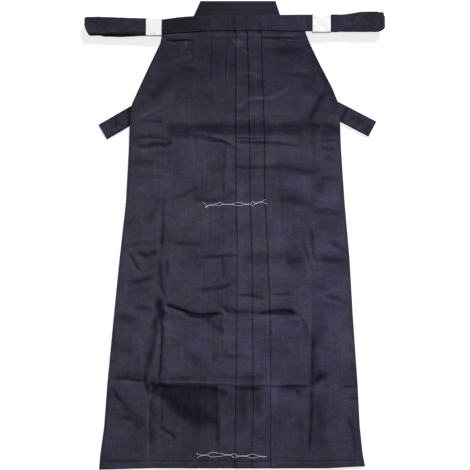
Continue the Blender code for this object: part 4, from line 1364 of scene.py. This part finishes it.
def smooth_line(points, step=0.8):
    """A smooth line through points, by Catmull and Rom's rule."""
    points = [np.array(point, float) for point in points]
    points = [2 * points[0] - points[1]] + points + [2 * points[-1] - points[-2]]
    line = []
    for a, b, c, d in zip(points, points[1:], points[2:], points[3:]):
        count = max(int(np.linalg.norm(c - b) / step), 2)
        for k in range(count):
            t = k / count
            line.append(0.5 * (2 * b + (c - a) * t + (2 * a - 5 * b + 4 * c - d) * t ** 2
                               + (3 * b - a - 3 * c + d) * t ** 3))
    line.append(points[-2])
    return line


def make_thread(ground, thread):
    """A basting thread: strands that lie on the pleats and part between the stitches."""
    tubes = []
    for strand in thread.strands:
        path = np.array([(x, y, ground.height(x, y) + THREAD_RADIUS * 0.9)
                         for x, y in smooth_line(strand)])
        for _ in range(4):
            path[1:-1, 2] = np.maximum(path[1:-1, 2],
                                       (path[:-2, 2] + path[1:-1, 2] + path[2:, 2]) / 3)
        tubes.append(tube(path, np.full(len(path), THREAD_RADIUS), 8))
    return join_tubes(thread.name, tubes)


class Nodes:
    """Short ways to add and link shader nodes."""

    def __init__(self, name):
        self.material = bpy.data.materials.new(name)
        self.material.use_nodes = True
        self.tree = self.material.node_tree
        self.shader = self.tree.nodes["Principled BSDF"].inputs
        self.place = self.add("TexCoord").outputs["Object"]

    def add(self, kind, settings=(), **values):
        """A node with its settings, and a value or a link for some of its sockets."""
        node = self.tree.nodes.new("ShaderNode" + kind)
        for key, value in dict(settings).items():
            setattr(node, key, value)
        for key, value in values.items():
            self.feed(node.inputs[key.replace("_", " ")], value)
        return node

    def feed(self, socket, value):
        if isinstance(value, bpy.types.NodeSocket):
            self.tree.links.new(value, socket)
        else:
            socket.default_value = value

    def math(self, operation, *values):
        node = self.add("Math", {"operation": operation})
        for socket, value in zip(node.inputs, values):
            self.feed(socket, value)
        return node.outputs[0]

    def plus(self, *values):
        return reduce(partial(self.math, "ADD"), values)

    def times(self, *values):
        return reduce(partial(self.math, "MULTIPLY"), values)

    def axes(self):
        """Where a place of the object is along x, y and z."""
        return self.add("SeparateXYZ", Vector=self.place).outputs

    def wave(self, value, pace):
        return self.math("SINE", self.times(value, pace))

    def noise(self, scale, detail=2.0, rough=0.5, stretch=None, turn=0.0):
        """Noise with scale bumps in a metre, or stretched with its own scale on each axis."""
        place = self.place
        if stretch:
            place = self.add("Mapping", Vector=place, Scale=stretch,
                             Rotation=(0, 0, turn)).outputs[0]
        return self.add("TexNoise", Vector=place, Scale=scale, Detail=detail,
                        Roughness=rough).outputs[0]

    def span(self, value, low, high, start=0.3, end=0.7):
        """Maps a value from start..end to low..high."""
        return self.add("MapRange", Value=value, From_Min=start, From_Max=end, To_Min=low,
                        To_Max=high).outputs[0]

    def mix(self, share, first, second):
        return self.add("Mix", {"data_type": "RGBA"}, Factor=share, A=first,
                        B=second).outputs["Result"]

    def scaled(self, colour, factor):
        return self.add("VectorMath", {"operation": "SCALE"}, Vector=colour,
                        Scale=factor).outputs[0]

    def bump(self, height, distance, strength, **normal):
        return self.add("Bump", Height=height, Distance=distance, Strength=strength,
                        **normal).outputs[0]

    def finish(self, **values):
        """The material, with its shader's inputs set."""
        for key, value in values.items():
            self.feed(self.shader[key.replace("_", " ")], value)
        return self.material


def cotton(name, blue, grey, shadow_colour, weave=0.55):
    """Dyed cotton twill: fine diagonal ribs, uneven yarns, blotches of dye wear, and the tone
    attribute's painted light and shade, which turns to the shadow colour where it is darkest.
    """
    made = Nodes(name)
    pace = 2 * pi / (weave * MM)
    x, y, _ = made.axes()
    ribs = made.wave(made.plus(x, y), pace * 0.7)
    slubs = made.plus(made.noise(1.0, stretch=(1500, 45, 200)),
                      made.noise(1.0, stretch=(45, 1500, 200)))
    height = made.plus(made.times(ribs, 0.3), made.times(made.wave(x, pace), 0.12), slubs)
    mottle = made.noise(95.0, 4.0, 0.6)
    streaks = made.noise(1.0, stretch=(190, 11, 60))
    crumple = made.noise(1.0, stretch=(75, 120, 100))
    tone = made.add("Attribute", {"attribute_name": "tone"}).outputs["Fac"]
    shade = made.times(tone, made.span(made.noise(15.0, 4.0, 0.55), 0.74, 1.26),
                       made.span(mottle, 0.84, 1.16), made.span(slubs, 0.92, 1.08, 0.7, 1.3),
                       made.span(streaks, 0.9, 1.1))
    hue = made.span(made.noise(22.0), 0.0, 1.0, 0.38, 0.62)
    hue = made.math("SUBTRACT", hue, made.times(x, 1.4))
    # where the tone is darkest, mostly painted shade, the colour turns to the shadow colour
    deep = made.span(tone, 1.0, 0.0, 0.15, 0.6)
    dye_and_shadow = made.mix(deep, made.mix(hue, (*blue, 1), (*grey, 1)), (*shadow_colour, 1))
    fine = made.bump(height, 0.00012, 0.5)
    return made.finish(
        Base_Color=made.scaled(dye_and_shadow, shade), Roughness=made.span(mottle, 0.78, 0.9),
        Specular_IOR_Level=0.12, Sheen_Weight=0.02, Sheen_Roughness=0.45,
        Sheen_Tint=(0.75, 0.75, 1.0, 1), Normal=made.bump(crumple, 0.0022, 0.42, Normal=fine))


def paper():
    """Thin white paper with soft cockles and faint fibres."""
    made = Nodes("white_paper")
    blotch = made.noise(60.0, 3.0)
    fibres = made.noise(1.0, 3.0, 0.6, (250, 900, 300), 0.3)
    shade = made.times(made.span(blotch, 0.95, 1.03), made.span(fibres, 0.97, 1.03))
    return made.finish(
        Base_Color=made.scaled((0.655, 0.655, 0.665), shade), Specular_IOR_Level=0.3,
        Roughness=made.span(fibres, 0.5, 0.65), Normal=made.bump(blotch, 0.0015, 0.3))


def thread_finish(name, colour, twist):
    """Twisted sewing thread, with the grooves between its plies painted darker as shade."""
    made = Nodes(name)
    x, y, z = made.axes()
    run = made.plus(x, made.times(y, 1.7), made.times(z, 1.3))
    plies = made.wave(run, 2 * pi / (twist * MM))
    fuzz = made.noise(900.0, 2.0, 0.6)
    shade = made.times(made.span(plies, 0.86, 1.06, -1, 1), made.span(fuzz, 0.93, 1.07))
    return made.finish(
        Base_Color=made.scaled(colour, shade), Roughness=made.span(fuzz, 0.7, 0.85),
        Sheen_Weight=0.1, Normal=made.bump(plies, 0.0002, 0.4))


CAMERA_PX = 470
MM_PER_PX = 2.175
LENS = 100.0
SENSOR = 36.0
VIEW_CENTRE = (0.8, 0.6, 6.0)


def make_camera():
    """Looks straight down, framing CAMERA_PX pixels of MM_PER_PX millimetres."""
    data = bpy.data.cameras.new("camera")
    data.lens = LENS
    data.sensor_width = SENSOR
    data.clip_end = 50
    camera = add_object("camera", data)
    away = CAMERA_PX * MM_PER_PX * LENS / SENSOR
    x, y, z = VIEW_CENTRE
    camera.location = (x * MM, y * MM, (z + away) * MM)
    bpy.context.scene.camera = camera


def make_light(name, azimuth, elevation, distance, size, power):
    """A square soft light that faces the garment; azimuth 0 is towards +X, 90 towards +Y."""
    data = bpy.data.lights.new(name, "AREA")
    data.shape = "SQUARE"
    data.size = size
    data.energy = power
    light = add_object(name, data)
    turn = radians(azimuth)
    rise = radians(elevation)
    place = Vector((cos(turn) * cos(rise), sin(turn) * cos(rise), sin(rise)))
    light.location = place * distance
    light.rotation_euler = place.to_track_quat("Z", "Y").to_euler()


FLOOR_HALF = 30.0                 # these two are metres
FLOOR_Z = -0.0002


def make_stage():
    """A plain pale floor and a pale surround."""
    corners = ((-1, -1), (1, -1), (1, 1), (-1, 1))
    mesh = bpy.data.meshes.new("floor")
    mesh.from_pydata([(x * FLOOR_HALF, y * FLOOR_HALF, FLOOR_Z) for x, y in corners], [],
                     [(0, 1, 2, 3)])
    mesh.materials.append(Nodes("pale_floor").finish(
        Base_Color=(0.3, 0.3, 0.3, 1), Emission_Color=(1, 1, 1, 1), Emission_Strength=0.76,
        Roughness=0.9, Specular_IOR_Level=0.1))
    floor = add_object("floor", mesh)
    world = bpy.data.worlds.new("surround")
    world.use_nodes = True
    background = world.node_tree.nodes["Background"].inputs
    background["Color"].default_value = (1.0, 1.0, 1.0, 1)
    background["Strength"].default_value = 0.29
    bpy.context.scene.world = world
    bpy.context.scene.view_settings.view_transform = "Standard"


make_camera()
make_light("key", 70, 27, 5.0, 1.1, 480)
make_stage()

BLUE = (0.0345, 0.0298, 0.0600)
GREY = (0.0350, 0.0318, 0.0500)
SHADOW_BLUE = (0.0310, 0.0255, 0.0680)
DARK_BLUE = (0.0175, 0.0150, 0.0310)
DARK_GREY = (0.0180, 0.0160, 0.0260)
CLOTH_FINISH = cotton("navy_cotton", BLUE, GREY, SHADOW_BLUE)
BAND_FINISH = cotton("navy_band", DARK_BLUE, DARK_GREY, DARK_BLUE)
PAPER_FINISH = paper()
BASTING_FINISH = thread_finish("basting_cotton", (0.46, 0.44, 0.54), 1.4)
STITCH_FINISH = thread_finish("navy_thread", (0.045, 0.042, 0.070), 0.8)

pieces = {}
for one_leg, width, area, back_width, back_area in (
        (RIGHT_LEG, 0.464, 0.384, 0.295, 0.227), (LEFT_LEG, 0.482, 0.399, 0.284, 0.222)):
    back = settle(make_back(one_leg), CLOTH_FINISH, "cloth", one_leg.side + "_back")
    front = settle(make_front(one_leg), CLOTH_FINISH, "cloth", one_leg.side + "_front")
    pieces[one_leg.side] = front
machi = settle(make_machi(), CLOTH_FINISH, "cloth", "machi")
board = settle(make_board(), BAND_FINISH, "board", "koshi_ita")
band = settle(make_band(), BAND_FINISH, "band", "front_band")
for tie in FRONT_TIES:
    made = settle(make_front_tie(tie), BAND_FINISH, "tie", tie.name)
for wrap in WRAPS:
    made = settle(make_wrap(wrap), PAPER_FINISH, "wrap", wrap.name)
for tie in BACK_TIES:
    made = settle(make_back_tie(tie), CLOTH_FINISH, "tie", tie.name)

fronts = Ground(*pieces.values())
for name, ground, lines in (
        ("hem_stitches", fronts, hem_lines()),
        ("slit_stitches", fronts, slit_lines()),
        ("band_stitches", Ground(band), band_lines()),
        ("board_stitches", Ground(board), board_lines())):
    settle(join_tubes(name, stitches(ground, lines)), STITCH_FINISH, None)
for thread in THREADS:
    settle(make_thread(fronts, thread), BASTING_FINISH, None)

bpy.context.view_layer.update()
